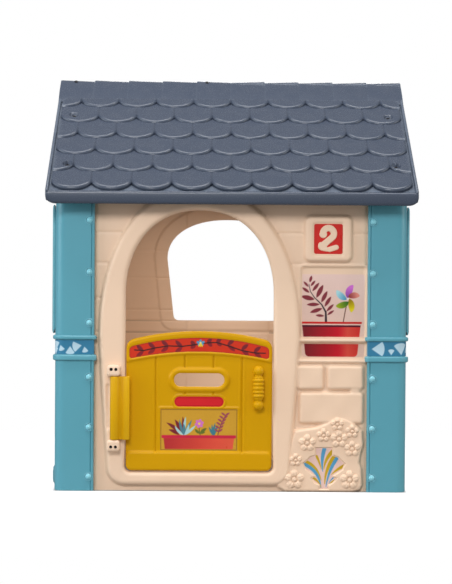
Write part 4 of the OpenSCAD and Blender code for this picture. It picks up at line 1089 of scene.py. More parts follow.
def belt_out(z):
    out = 0.0
    for low, high in BELT:
        t = min(z - low, high - z)
        if t > 0:
            out = max(out, BELT_RAISE * math.sqrt(1 - (1 - min(t / 4.0, 1)) ** 2))
    return out


def post_heights():
    zs = {0, 1.2, 4, POST_H - 4, POST_H - 1, POST_H}
    for low, high in BELT:
        zs |= {low - 2, low, low + 0.3, low + 1, low + 2, low + 3, low + 4.2,
               high - 4.2, high - 3, high - 2, high - 1, high - 0.3, high, high + 2}
    for pin in PIN_HEIGHTS:
        zs |= {pin - 13, pin - 11.5, pin - 10, pin + 10, pin + 11.5, pin + 13}
    zs |= set(range(60, 780, 40))
    zs |= set(range(10, 66, 3))
    return sorted(zs)


print("post section:", len(post_path()), "points at", len(post_heights()), "heights")

# %% Carry the section up the post
def post_shell(sx, sy, pad):
    path = post_path()
    rings = []
    for z in post_heights():
        near_pin = min(abs(z - pin) for pin in PIN_HEIGHTS)
        shrink = -1.2 if z in (0, POST_H) else 0.0
        ring = []
        for px, py, nx, ny in path:
            along = max(px, py)
            out = belt_out(z) + shrink
            if 93.0 < along < 96.0 and near_pin >= 11.5 and belt_out(z) == 0:
                out -= 2.6 * (1 - abs(along - 94.5) / 1.5) ** 0.5
            if pad and px < 1 and nx < -0.9:
                out += 5.0 * float(roll(disc_sd(py, z, LEG / 2, 37, 24), 5))
            ring.append((px + nx * out, py + ny * out, z))
        back = [(WALL_FACE - 0.6, LEG - 3.4), (3.4, LEG - 3.4), (3.4, 30), (12, 12), (30, 3.4),
                (LEG - 3.4, 3.4), (LEG - 3.4, WALL_FACE - 0.6)]
        ring += [(bx, by, z) for bx, by in back]
        rings.append([(sx * (HOUSE_W / 2 - x), sy * (HOUSE_D / 2 - y), z2) for x, y, z2 in ring])
    return loft(rings)


print("one post:", len(post_shell(1, 1, False)[1]), "faces")

# %% [markdown]
# ## Pins
# Two-part pins hold each post to its walls. Their domed heads are a lighter, shinier plastic than the
# post. A head is turned like a lathe piece from a circle's arc, and sits in a low ring on the post.

# %% Pins with domed heads in shallow seats
def dome_profile(r, h, steps=7):
    big = (r * r + h * h) / (2 * h)
    out = [(r * 0.86, -1.0), (r, 0.0)]
    for i in range(1, steps):
        t = 1 - i / steps
        out.append((r * t, math.sqrt(big ** 2 - (r * t) ** 2) - big + h))
    return out + [(0.4, h)]


def corner_point(sx, sy, px, py, z):
    return (sx * (HOUSE_W / 2 - px), sy * (HOUSE_D / 2 - py), z)


def seat_ring(centre, axis):
    """A low round lip that the pin's head sits in."""
    return turned([(9.0, -0.5), (10.6, 0.3), (11.0, 1.0), (10.4, 1.5), (9.6, 1.1), (8.8, -0.5)],
                  centre, axis, 28)


def pin_set(shell, seats, sx, sy):
    for z in PIN_HEIGHTS:
        for px, py in ((LEG - PIN_INSET, 0), (0, LEG - PIN_INSET)):
            centre = corner_point(sx, sy, px, py, z)
            out = (0, sy, 0) if py == 0 else (sx, 0, 0)
            shell.add(*turned(dome_profile(7.9, 5.4), centre, out, 28))
            seats.add(*seat_ring(centre, out))


CORNERS = {"front_left": (-1, -1), "front_right": (1, -1), "back_left": (-1, 1), "back_right": (1, 1)}
for corner, (sx, sy) in CORNERS.items():
    post, pins = Shell(), Shell()
    post.add(*post_shell(sx, sy, corner in ("front_left", "back_right")))
    pin_set(pins, post, sx, sy)
    post.piece(f"{corner}_corner", "house", "post_plastic", POST, (f"{corner}_post",))
    pins.piece(f"{corner}_studs", "house", "pin_plastic", PIN, (f"{corner}_post_pins",))

# %% [markdown]
# ## The half door
# The door is a shallow moulding: planks, a bottom rail, an arched header that holds a printed strip, and a
# hand hole with a fat ring. Its hinge barrel turns on a pin between two keepers on the surround.

# %% The door's outline and fields
DOOR_FACE = 8.0
DOOR_REAR = 22.0
DOOR_HALF = DOORWAY_W / 2 - 3
DOOR_TOP, DOOR_FALL = box_mm("door")[1][2], 26.0
TOP_R = (DOOR_HALF ** 2 + DOOR_FALL ** 2) / (2 * DOOR_FALL)
LOW_R = 1.2 * TOP_R
HEADER_LOW = DOOR_TOP - 61
HOLE_Z, PLATE_Z = 287.0, middle("door_plate_label")[2]
DOOR_SEAMS = (-112, -37, 37, 111)
PLANTER_X, _, PLANTER_Z = middle("door_planter_label")


def both(a, b, r=0.0):
    """Where two outlines overlap, with the corner rounded by r."""
    u, v = np.maximum(a + r, 0), np.maximum(b + r, 0)
    return np.minimum(-r, np.maximum(a, b)) + np.hypot(u, v)


def door_sd(x, z):
    top = disc_sd(x, z, DOORWAY_X, DOOR_TOP - TOP_R, TOP_R)
    body = box_sd(x, z, DOORWAY_X, SILL_Z + 3 + 250, 2 * DOOR_HALF, 500, 16)
    return both(body, top, 18)


def header_field_sd(x, z, grow=0.0):
    top = disc_sd(x, z, DOORWAY_X, DOOR_TOP - TOP_R, TOP_R - 16)
    low = -disc_sd(x, z, DOORWAY_X, HEADER_LOW - LOW_R, LOW_R + 7)
    sides = np.abs(x - DOORWAY_X) - (DOOR_HALF - 7)
    return both(both(top, low, 9), sides, 9) - grow


def slot_sd(x, z, cx, cz, w, h):
    return bar_sd(x, z, cx - (w - h) / 2, cz, cx + (w - h) / 2, cz, h / 2)


print("door", round(2 * DOOR_HALF), "mm wide, its top at", round(DOOR_TOP))

# %% Depth of the door's face
def door_depth(x, z):
    outline = door_sd(x, z)
    d = DOOR_FACE + 4.0 * (1 - roll(outline, 6))
    header = both(outline, -disc_sd(x, z, DOORWAY_X, HEADER_LOW - LOW_R, LOW_R), 6)
    above_rail = (z > SILL_Z + 50) & (header > 0)
    for plank_edge in DOOR_SEAMS:
        seam = x - DOORWAY_X - plank_edge
        lips = 0.8 * np.exp(-((np.abs(seam) - 5.5) / 2.5) ** 2)
        d = d + above_rail * (4.0 * groove(seam, 4.6) - lips)
    d = d - 3.6 * roll(header, 4.5) + 2.0 * roll(header_field_sd(x, z), 2.0)
    rail = box_sd(x, z, DOORWAY_X, SILL_Z + 3 + 25, 2 * DOOR_HALF - 1, 50, 14)
    d = d - 5.2 * roll(rail, 5.5)
    ring = np.abs(slot_sd(x, z, DOORWAY_X, HOLE_Z, 143, 48)) - 7.5
    d = np.where(ring < 0, np.minimum(d, DOOR_FACE - 5.0 * roll(ring, 7.5)), d)
    plate = np.abs(slot_sd(x, z, DOORWAY_X, PLATE_Z, 133, 32)) - 2.6
    d = np.where(plate < 0, np.minimum(d, DOOR_FACE - 2.6 * roll(plate, 2.4)), d)
    d = np.where(slot_sd(x, z, DOORWAY_X, PLATE_Z, 130, 29) < 0, DOOR_FACE, d)
    planter = np.abs(box_sd(x, z, PLANTER_X, PLANTER_Z, 205, 113, 3)) - 2.2
    d = np.where(planter < 0, np.minimum(d, DOOR_FACE - 2.4 * roll(planter, 2.2)), d)
    return np.where(box_sd(x, z, PLANTER_X, PLANTER_Z, 201, 109, 1) < 0, DOOR_FACE, d)


def door_keep(x, z):
    return np.minimum(-door_sd(x, z), slot_sd(x, z, DOORWAY_X, HOLE_Z, 130, 35))


door = Shell()
door.add(*relief(spaced(DOORWAY_X - 191, DOORWAY_X + 191, 1.8), spaced(SILL_Z, DOOR_TOP + 3, 1.8),
                 door_depth, door_keep, DOOR_REAR, soften=1), "front")
print("door panel:", len(door.faces), "faces")

# %% [markdown]
# ## The hinge barrel
# The door's edge is drawn out into a long barrel and a web. One closed section, carried along the
# hinge's own axis with its ends drawn in, gives both at once and keeps the barrel on its pin.

# %% The hinge barrel and its web
HINGE = next(j for j in frame["joints"] if j["name"] == "door_hinge")
HINGE_X, HINGE_D = HINGE["pos_m"][0] / MM, HINGE["pos_m"][1] / MM + HOUSE_D / 2
BARREL_LOW, BARREL_HIGH = 134.0, 296.0


def barrel_section(inset):
    ring = []
    for angle in range(225, 24, -15):
        t = math.radians(angle)
        ring.append(((12 - inset) * math.cos(t), -(12 - inset) * math.sin(t)))
    ring += [(13.2, -4.2 + inset), (16.5, -3.4 + inset), (20, -4.2 + inset), (23, -6.6 + inset),
             (26, -7.8 + inset), (34, -7.8 + inset), (37.2 - inset, -6.4), (38.5 - inset, -3.2),
             (38.5 - inset, 20.6), (30, 20.6), (28, 11), (8.5, 8.5)]
    return ring


rings = []
for z, inset in ((BARREL_LOW, 1.4), (BARREL_LOW + 0.5, 0.5), (BARREL_LOW + 1.8, 0.0),
                 (BARREL_HIGH - 1.8, 0.0), (BARREL_HIGH - 0.5, 0.5), (BARREL_HIGH, 1.4)):
    rings.append([(HINGE_X + px, HINGE_D + pd, z) for px, pd in barrel_section(inset)])
door.add(*loft(rings), "front")
door.piece("half_door", "door", "door_plastic", DOOR, ("door",))

# %% [markdown]
# ## The handle
# The handle looks like a turned spindle with a ball at each end and ribs to grip. It could be built
# from spheres and rings joined together; one turned profile has no seams and softer hollows.

# %% The turned handle
HANDLE_X, _, HANDLE_Z = middle("door_handle")
HANDLE_HALF = 57.0
BALL_R = 13.4


def handle_profile():
    half = []
    centre = HANDLE_HALF - BALL_R
    for angle in range(88, -45, -11):
        t = math.radians(angle)
        half.append((BALL_R * math.cos(t), centre + BALL_R * math.sin(t)))
    half += [(8.6, 33.0), (9.4, 31.4), (10.8, 28.6), (12.0, 26.8), (12.4, 25.8), (11.4, 24.9)]
    for z in (20, 10):
        half += [(12.0, z + 4.4), (13.8, z + 3.0), (14.7, z + 1.0), (14.7, z - 1.0), (13.8, z - 3.0),
                 (12.2, z - 4.4)]
    half += [(13.8, 3.2), (14.9, 1.0)]
    return half + [(r, -z) for r, z in reversed(half)]


handle = Shell()
handle_d = DOOR_FACE - 15.5
handle.add(*turned(handle_profile()[::-1], (HANDLE_X, handle_d, HANDLE_Z), (0, 0, 1), 40), "front")
for side in (-1, 1):
    stud = [(6.5, 0), (5.5, 2), (5.5, 12), (7.0, 14.2)]
    handle.add(*turned(stud, (HANDLE_X, handle_d, HANDLE_Z + side * 46), (0, 1, 0), 24), "front")
handle.piece("turned_handle", "door", "door_plastic", DOOR, ("door_handle",))

# %% [markdown]
# ## Keepers
# Two soft-edged blocks hold the hinge pin above and below the barrel, each with two dark screws set in
# holes. The holes are cut by the outline that says where the block has material, so no boolean is needed.

# %% Keepers and their screws
KEEPER_X = HINGE_X - 3
KEEPER_FRONT, KEEPER_REAR = 2 - 0.3 - 25, 2 - 0.3


def keeper_piece(name, replaced, low_z, screw_z, bulge):
    mid_z = low_z + 14.5

    def depth(x, z):
        block = box_sd(x, z, KEEPER_X, mid_z, 34, 29, 8)
        return KEEPER_FRONT + 5.0 * (1 - roll(block, 7)) + 0.03 * bulge * (z - mid_z)

    def keep(x, z):
        block = box_sd(x, z, KEEPER_X, mid_z, 34, 29, 8)
        holes = np.minimum(disc_sd(x, z, KEEPER_X - 6, screw_z, 4.2),
                           disc_sd(x, z, KEEPER_X + 6, screw_z, 4.2))
        return np.minimum(-block, holes)

    shell = Shell()
    grid = (spaced(KEEPER_X - 18, KEEPER_X + 18, 0.8), spaced(low_z - 1, low_z + 30, 0.8))
    shell.add(*relief(*grid, depth, keep, KEEPER_REAR), "front")
    shell.piece(name, "house", "wall_plastic", WALL, (replaced,))


UPPER_Z, LOWER_Z = BARREL_HIGH + 1, BARREL_LOW - 1 - 29
keeper_piece("upper_keeper", "upper_hinge_keeper", UPPER_Z, UPPER_Z + 17.5, 1)
keeper_piece("lower_keeper", "lower_hinge_keeper", LOWER_Z, LOWER_Z + 11.5, -1)


def screw_head(shell, centre, out, r, h):
    """A pan head with a round drive recess."""
    profile = [(r * 0.9, -1.0), (r, 0.0), (r * 0.96, h * 0.5), (r * 0.80, h * 0.88), (r * 0.55, h),
               (r * 0.45, h), (r * 0.40, h * 0.55), (r * 0.18, h * 0.35), (0.2, h * 0.3)]
    shell.add(*turned(profile, centre, out, 24))


keeper_screws = Shell()
for z in (UPPER_Z + 17.5, LOWER_Z + 11.5):
    for side in (-1, 1):
        d = KEEPER_FRONT + 9.0 - HOUSE_D / 2
        screw_head(keeper_screws, (KEEPER_X + side * 6, d, z), (0, -1, 0), 4.1, 3.0)
keeper_screws.piece("keeper_fixings", "house", "screw_steel", BLACK_ZINC, ("keeper_screws",))

# %% [markdown]
# ## Shutters
# Four arched shutters close over the side windows in pairs and lie open against the posts. A raised
# border frames slanted slats.

# %% One shutter, open, in a side wall's frame
SHUTTER_T = 6.5
SHUTTER_LINE_X = 156 + 14 + 4.5 + 2
SHUTTER_FRONT = -5.4 - SHUTTER_T
SHUTTER_LOW = 404.0


def leaf_sd(x, z):
    """The open leaf's outline, with x measured from the hinge line."""
    arch = outline_sd(x, z, arch_outline(176, 170, 158, 606, 132, SHUTTER_LOW, 16))
    near, far = 6 - x, x - (176 - 1)
    return both(both(arch, near, 12), far, 12)


def leaf_depth(x, z):
    outline = leaf_sd(x, z)
    d = SHUTTER_FRONT + 2.0 * (1 - roll(outline, 4.5)) + 3.2 * (1 - roll(outline, 70))
    inner = outline + 17
    d = d + 2.6 * roll(inner, 3)
    pitch = 30.0
    slat = (z - SHUTTER_LOW) % pitch / pitch
    return d - (inner < 0) * 2.2 * roll(inner, 5) * np.clip(1.15 - slat, 0, 1) * (slat > 0.12)


def leaf_mesh():
    return relief(spaced(2, 178, 2.4), spaced(SHUTTER_LOW - 2, 742, 2.4), leaf_depth,
                  lambda x, z: -leaf_sd(x, z), SHUTTER_FRONT + SHUTTER_T, soften=1)


LEAF_POINTS, LEAF_FACES = leaf_mesh()


def shutter_piece(name, replaced, side, mirror):
    shell = Shell()
    flip = np.array((mirror, 1, 1))
    shell.add((np.array(LEAF_POINTS) + (SHUTTER_LINE_X, 0, 0)) * flip, LEAF_FACES, side)
    # a rim along the free edge closes the gap to the post
    rim = []
    for z, inner in ((410, -5.0), (416, -2.2), (424, -1.2), (716, -1.2), (725, -2.2), (732, -5.0)):
        section = rounded_section(169, 174.6, -8, inner, 1.2, 3)
        rim.append([(mirror * (SHUTTER_LINE_X + px), pd, z) for px, pd in section])
    shell.add(*loft(rim), side)
    for low in (444.3 + 20, 600.3 + 20):
        x = mirror * SHUTTER_LINE_X
        knuckle = [(3.4, 0), (4.5, 0.9), (4.5, 19.1), (3.4, 20)]
        shell.add(*turned(knuckle, (x, -1, low), (0, 0, 1), 20), side)
        strap = rounded_section(-5.4, 3.0, low + 1, low + 19, 1.2, 3)
        points, faces = along_x([(y, z) for y, z in strap], [(0, 1, 0), (20, 1, 0), (22, 0.7, 0)])
        points = [(mirror * (SHUTTER_LINE_X + px), py, pz) for px, py, pz in points]
        shell.add(points, faces, side)
    shell.piece(name, replaced, "shutter_plastic", SHUTTER, (replaced,))


for side in ("left", "right"):
    for end in ("front", "back"):
        # a side wall's own x runs towards the front on the left and towards the back on the right
        mirror = 1 if (side == "left") == (end == "front") else -1
        shutter_piece(f"{side}_{end}_leaf", f"{side}_{end}_shutter", side, mirror)

# %% [markdown]
# ## Roof screws
# Dark screws sit in round pockets of the shingles near the verges, and two hold the ridge. They are set
# square to the slope, from the same places that shape the pockets.

# %% Screws on the slopes and the ridge
roof_screws, ridge_screws = Shell(), Shell()
for turned_round in (False, True):
    sign = -1 if turned_round else 1
    normal = (0, -sign * math.sin(PITCH), math.cos(PITCH))
    for x in (-POCKET_X, POCKET_X):
        for v in POCKET_V:
            centre = on_slope([(x, v, 0.4)], turned_round)[0]
            screw_head(roof_screws, tuple(centre), normal, 6.0, 3.6)
    for share in (0.45, 4.3):
        x = -PANEL_W / 2 + share * PANEL_W / RIDGE_TILES
        centre = turned_half([(x, -7.0, sheet_top(7) + RIDGE_RISE - 0.8)], turned_round)[0]
        screw_head(ridge_screws, tuple(centre), normal, 5.6, 3.4)
roof_screws.piece("slope_fixings", "house", "screw_steel", BLACK_ZINC, ("roof_screws",))
ridge_screws.piece("ridge_fixings", "house", "screw_steel", BLACK_ZINC, ("ridge_screws",))

# %% [markdown]
# ## Hinge pins
# Plain steel pins join the door to its keepers and the shutters to their lugs. They ride on the house,
# because the door and the shutters turn about them.

# %% Pins that the door and the shutters turn on
def hinge_pin(shell, x, d, low, high, r, side):
    """A plain pin with a rounded end and a wider head on top."""
    profile = [(r * 0.5, low), (r * 0.9, low + 0.4 * r), (r, low + r), (r, high - 2.2),
               (r * 1.15, high - 1.6), (r * 1.15, high - 0.6), (r * 0.8, high), (0.3, high)]
    shell.add(*turned(profile, (x, d, 0), (0, 0, 1), 24), side)


door_pin, shutter_pins = Shell(), Shell()
pin_low, pin_high = box_mm("door_hinge_pin")
hinge_pin(door_pin, HINGE_X, HINGE_D, pin_low[2], pin_high[2], 3.9, "front")
door_pin.piece("door_pivot", "house", "hinge_steel", ZINC, ("door_hinge_pin",))
pins_low, pins_high = box_mm("shutter_hinge_pins")
PIN_LENGTH = 40.0
for side in ("left", "right"):
    for x in (-SHUTTER_LINE_X, SHUTTER_LINE_X):
        for low in (pins_low[2], pins_high[2] - PIN_LENGTH):
            hinge_pin(shutter_pins, x, -1, low, low + PIN_LENGTH, 1.9, side)
shutter_pins.piece("shutter_pivots", "house", "hinge_steel", ZINC, ("shutter_hinge_pins",))

# %% [markdown]
# ## Printed films
# The pictures are films stuck into shallow fields of the mouldings. Each film is a thin closed panel
# with a fine grid, and its picture is drawn with the same distances as the mouldings: a leaf is a
# stroke that swells and tapers, laid over the ground colour. A picture drawn as strokes needs no image
# file, and it stays sharp at any size.

# %% Brush strokes and how they are laid on a ground
def stroke_sd(x, z, path, widths):
    """Distance to a stroke along a path of points whose half-width changes along it."""
    best = np.full(x.shape, 1e9)
    for i, ((x0, z0), (x1, z1)) in enumerate(zip(path, path[1:])):
        ex, ez = x1 - x0, z1 - z0
        t = np.clip(((x - x0) * ex + (z - z0) * ez) / (ex * ex + ez * ez + 1e-9), 0, 1)
        r = widths[i] + (widths[i + 1] - widths[i]) * t
        best = np.minimum(best, np.hypot(x - x0 - t * ex, z - z0 - t * ez) - r)
    return best


def bent(base, tip, bend, steps=14):
    """A path from base to tip that bows to the left by a share of its length."""
    (x0, z0), (x1, z1) = base, tip
    mx, mz = (x0 + x1) / 2 - bend * (z1 - z0), (z0 + z1) / 2 + bend * (x1 - x0)
    ts = np.linspace(0, 1, steps)
    return [((1 - t) ** 2 * x0 + 2 * t * (1 - t) * mx + t * t * x1,
             (1 - t) ** 2 * z0 + 2 * t * (1 - t) * mz + t * t * z1) for t in ts]


def leaf(x, z, base, tip, width, bend=0.0, fat=0.5):
    """A leaf is widest a share `fat` of the way along and pointed at both ends."""
    ts = np.linspace(0, 1, 14)
    shape = np.sin(math.pi * ts ** (math.log(0.5) / math.log(fat))) ** 0.85
    return stroke_sd(x, z, bent(base, tip, bend), width * shape)


def blade(x, z, base, tip, width, bend=0.0):
    """A blade is thin at its foot and swells to a rounded end."""
    ts = np.linspace(0, 1, 14)
    swell = (0.12 + 0.88 * ts ** 0.9) * (1 - 0.25 * ts ** 6)
    return stroke_sd(x, z, bent(base, tip, bend), width * swell)


def ground(x, rgb):
    return np.ones((x.size, 3)) * np.array(rgb, float)


def lay(ink, sd, rgb):
    cover = np.clip(0.5 - sd / 1.3, 0, 1)[:, None]
    return ink * (1 - cover) + np.array(rgb, float) * cover


def shade(t, *stops):
    """Blends from one colour to the next as t goes through the stops (position, colour)."""
    places = [s[0] for s in stops]
    return np.stack([np.interp(t, places, [s[1][c] for s in stops]) for c in range(3)], axis=-1)


dot = lay(ground(np.zeros(1), (0, 0, 0)), np.array([-5.0]), (206, 40, 30))
print("ink inside a stroke:", dot[0])

# %% Make one film
def film_piece(name, node_name, body, slot_name, keep, face, rear, paint, step=1.1, side="front"):
    low, high = box_mm(node_name)
    shell = Shell()
    points, faces = relief(spaced(low[0] - 2, high[0] + 2, step), spaced(low[2] - 2, high[2] + 2, step),
                           lambda x, z: np.full(x.shape, face), keep, rear)
    flat = np.array(points)
    shell.add(points, faces, side, paint(flat[:, 0], flat[:, 2]))
    return shell.piece(name, body, slot_name, FILM, (node_name,))


MAROON, INK_BLACK, SKY_BLUE = (118, 36, 44), (42, 28, 30), (82, 150, 190)
OCHRE, OLIVE, TEAL_INK = (196, 158, 24), (96, 108, 40), (62, 118, 132)

# %% [markdown]
# ## The door's three films
# A vine runs along the header, a plain plate is set under the hand hole, and a trough of leaves and a
# daisy stands below. Every leaf could be its own mesh; inks laid over each other on one fine grid keep
# each film a single flat sheet, as the real one is.

# %% The header film: a leafy vine on red
VINE = [(-248, 363.5), (-225, 362), (-195, 369), (-161, 374.5), (-125, 373.5), (-92, 378),
        (-60, 383), (-36, 384), (-8, 376), (28, 364), (60, 358), (89, 357)]


def paint_header(x, z):
    ink = ground(x, (204, 50, 26))
    edge = header_field_sd(x, z) + 2.6
    ink = lay(ink, -edge - 0.6, (178, 44, 34))
    for i, (px, pz) in enumerate(VINE[1:-1]):
        reach = 25 if i not in (4, 5, 6) else 15
        for swing, colour in ((46, MAROON), (-42, (134, 34, 40))):
            lean = math.radians(swing if px < -78 else 180 - swing)
            tip = (px - reach * math.cos(lean), pz + 0.86 * reach * math.sin(lean))
            ink = lay(ink, leaf(x, z, (px, pz), tip, 5.0, 0.12), colour)
    ink = lay(ink, stroke_sd(x, z, VINE, [1.4] * len(VINE)), INK_BLACK)
    bloom = (-78, 383)
    for i in range(5):
        a = math.radians(20 + 72 * i)
        tip = (bloom[0] + 10 * math.cos(a), bloom[1] + 7 * math.sin(a))
        ink = lay(ink, leaf(x, z, bloom, tip, 3.2, fat=0.7), SKY_BLUE)
    for i in range(3):
        tip = (bloom[0] + 5 - 5 * i, bloom[1] - 11)
        ink = lay(ink, leaf(x, z, bloom, tip, 2.2), (228, 190, 60))
    return lay(ink, disc_sd(x, z, *bloom, 2.6), (236, 214, 120))


film_piece("header_film", "door_header_label", "door", "door_label_print",
           lambda x, z: -(header_field_sd(x, z) + 0.6), DOOR_FACE - 2.2, DOOR_FACE - 1.2, paint_header)

# %% The plate's film, plain and bordered
film_piece("plate_film", "door_plate_label", "door", "plate_label_print",
           lambda x, z: -slot_sd(x, z, DOORWAY_X, PLATE_Z, 127.4, 26.4), DOOR_FACE - 0.6,
           DOOR_FACE + 0.3,
           lambda x, z: lay(ground(x, (206, 30, 38)),
                            np.abs(slot_sd(x, z, DOORWAY_X, PLATE_Z, 121, 20)) - 0.7, (176, 18, 30)))


# %% The planter film: a trough of leaves and a daisy on ochre
def paint_planter(x, z):
    cx, cz = PLANTER_X, PLANTER_Z
    ink = ground(x, (200, 150, 44))
    ink = lay(ink, np.abs(box_sd(x, z, cx, cz, 196, 104)) - 0.7, (120, 84, 26))
    for base, tip, width, colour in (
            ((-46, -12), (-62, 26), 5.0, MAROON), ((-46, -12), (-84, 18), 4.6, MAROON),
            ((-50, -14), (-78, 0), 4.2, MAROON), ((-44, -12), (-42, 34), 4.0, MAROON)):
        ink = lay(ink, leaf(x, z, (cx + base[0], cz + base[1]), (cx + tip[0], cz + tip[1]), width,
                            -0.12), colour)
    for i, (dx, dz, pale) in enumerate(((-62, 14, 1), (-50, 30, 0), (-34, 38, 1), (-18, 30, 0),
                                        (-8, 16, 1), (-40, 20, 0), (-26, 18, 1))):
        colour = (166, 204, 204) if pale else (74, 126, 140)
        ink = lay(ink, leaf(x, z, (cx - 38, cz - 15), (cx + dx, cz + dz - 4), 3.4, 0.15 - 0.05 * i),
                  colour)
    stem = bent((cx + 4, cz - 15), (cx + 1, cz + 14), 0.1)
    ink = lay(ink, stroke_sd(x, z, stem, [0.9] * len(stem)), (60, 84, 40))
    for tip, width in (((20, 4), 4.0), ((-10, 2), 3.4), ((16, -6), 3.2)):
        ink = lay(ink, leaf(x, z, (cx + 3, cz - 10), (cx + tip[0], cz + tip[1]), width, 0.1), OLIVE)
    for i in range(6):
        a = math.radians(60 * i + 15)
        tip = (cx + 1 + 10.5 * math.cos(a), cz + 16 + 10.5 * math.sin(a))
        ink = lay(ink, leaf(x, z, (cx + 1, cz + 16), tip, 3.9, fat=0.68), (206, 112, 190))
    ink = lay(ink, disc_sd(x, z, cx + 1, cz + 16, 3.0), (236, 204, 70))
    for dx, dz in ((26, 8), (34, 14), (42, 18), (50, 12), (30, -2)):
        ink = lay(ink, leaf(x, z, (cx + 40, cz - 15), (cx + dx, cz + dz), 2.8, 0.1), TEAL_INK)
    twig = bent((cx + 49, cz - 15), (cx + 71, cz + 40), 0.12)
    ink = lay(ink, stroke_sd(x, z, twig, [0.9] * len(twig)), (96, 44, 60))
    for i in range(2, len(twig) - 1, 2):
        for swing in (-1, 1):
            tip = (twig[i][0] + swing * 11, twig[i][1] + 8)
            ink = lay(ink, leaf(x, z, twig[i], tip, 2.6, 0.1 * swing), (150, 66, 84))
    trough = np.maximum(np.abs(x - cx) - (91 + 0.12 * (z - cz + 22)), np.abs(z - (cz - 36)) - 14)
    ink = lay(ink, trough, shade((x - cx + 91) / 182, (0, (176, 44, 46)), (0.5, (206, 66, 52)),
                                 (1, (222, 88, 62))))
    return lay(ink, box_sd(x, z, cx, cz - 18, 192, 8, 2), (196, 34, 62))


film_piece("planter_film", "door_planter_label", "door", "planter_label_print",
           lambda x, z: -box_sd(x, z, PLANTER_X, PLANTER_Z, 199, 107, 1.5), DOOR_FACE - 0.6,
           DOOR_FACE + 0.3, paint_planter)


# %% The number field's film, cut out round the numeral
def paint_number(x, z):
    rim = np.abs(box_sd(x, z, PLINTH_X, PLINTH_Z, 72, 75, 5)) - 0.5
    return lay(ground(x, (202, 40, 34)), rim, (188, 30, 30))


film_piece("number_film", "number_label", "house", "number_label_print",
           lambda x, z: np.minimum(-box_sd(x, z, PLINTH_X, PLINTH_Z, 77, 80, 6),
                                   numeral_sd(x, z) + 0.6),
           FIELD_FACE - 0.4, FIELD_FACE + 0.6, paint_number)

# %% [markdown]
# ## The wall's films
# The niche shows a potted branch and a pinwheel behind two moulded rails, and the flower bed holds a
# fan of blades. Both are printed flat, so their shades are in the ink and not in the form.

# %% The niche film: a pot with a branch and a pinwheel
# Leaves of the branch, base and tip with half-width, and petals with their inks
BRANCH = [(246.4, 439), (245.6, 464), (234.8, 483.5), (216.2, 501.3), (205.4, 517), (201.5, 536)]
BRANCH_LEAVES = [
    ((203.8, 541), (208.2, 558), 3.6), ((206.1, 531), (217.8, 545.5), 3.1),
    ((210.8, 518), (228, 540), 4.1), ((221.2, 501), (238.3, 534.5), 5.8),
    ((234, 489), (249.2, 518.5), 5.0), ((242.5, 478), (259.2, 504.5), 4.5),
    ((247.5, 466), (266, 484.5), 3.7), ((249.5, 456.5), (266.9, 468.5), 3.1),
    ((200.7, 529), (187.6, 543), 3.0), ((203, 514), (184, 527.5), 3.7),
    ((216.2, 496.7), (181.7, 504.7), 6.0), ((230, 484), (196, 483), 4.6),
    ((236.6, 473.5), (204.6, 462.5), 5.0), ((241.7, 454), (219.3, 455.7), 3.4)]
PETALS = [((302.5, 500), (316.5, 534.5), 8.6, 0.22, ((142, 74, 160), (212, 112, 208))),
          ((304, 503), (333, 506), 8.0, 0.22, ((150, 60, 62), (222, 138, 122))),
          ((306, 499), (311.5, 463.5), 8.0, 0.18, ((150, 120, 10), (222, 204, 24))),
          ((304.5, 491), (271.5, 480), 8.2, 0.20, ((54, 106, 30), (146, 164, 26))),
          ((300, 497), (273.5, 521), 8.2, 0.20, ((82, 150, 184), (168, 214, 222)))]


def paint_niche(x, z):
    ink = shade((z - 400) / 160, (0, (222, 188, 172)), (1, (232, 200, 190)))
    for base, tip, width in BRANCH_LEAVES:
        ink = lay(ink, leaf(x, z, base, tip, width), (130, 48, 58))
    ink = lay(ink, stroke_sd(x, z, BRANCH, (3.0, 2.2, 1.6, 1.1, 0.9, 0.6)), (44, 26, 36))
    stem = [(299.5, 484), (295.5, 464), (291, 438)]
    ink = lay(ink, stroke_sd(x, z, stem, [1.2] * 3), (104, 66, 52))
    for base, tip, width, bend, (dark, light) in PETALS:
        length = math.hypot(tip[0] - base[0], tip[1] - base[1])
        along = np.hypot(x - base[0], z - base[1]) / length
        ink = lay(ink, leaf(x, z, base, tip, width, bend), shade(along, (0.1, dark), (0.8, light)))
    ink = lay(ink, disc_sd(x, z, 302.8, 498.6, 2.6), (236, 226, 226))
    pot_mid, lean = 260.5, (z - 348.5) * 0.11
    pot = both(np.abs(x - pot_mid) - (66.8 + lean), 348.5 - z, 9)
    pot = np.maximum(pot, z - 430)
    body = shade((x - pot_mid + 70) / 140, (0, (120, 26, 34)), (0.3, (156, 22, 34)),
                 (0.62, (192, 18, 36)), (0.8, (208, 72, 58)), (1.0, (204, 48, 42)))
    ink = lay(ink, pot, body)
    ink = lay(ink, np.maximum(pot, np.abs(z - 427.8) - 2.2), (72, 16, 34))
    return lay(ink, box_sd(x, z, pot_mid, 436.3, 157, 5.2, 1), (196, 24, 22))


def niche_keep(x, z):
    field = box_sd(x, z, NICHE_MID + 1, (NICHE_Z + NICHE_TOP) / 2 - 9, NICHE_W - 14,
                   NICHE_TOP - NICHE_Z - 28, 5)
    return -np.maximum(field, -outline_sd(x, z, SURROUND) + 5)


film_piece("niche_film", "wall_planter_label", "house", "niche_label_print", niche_keep,
           WALL_FACE + 4.9, WALL_FACE + 6.4, paint_niche)

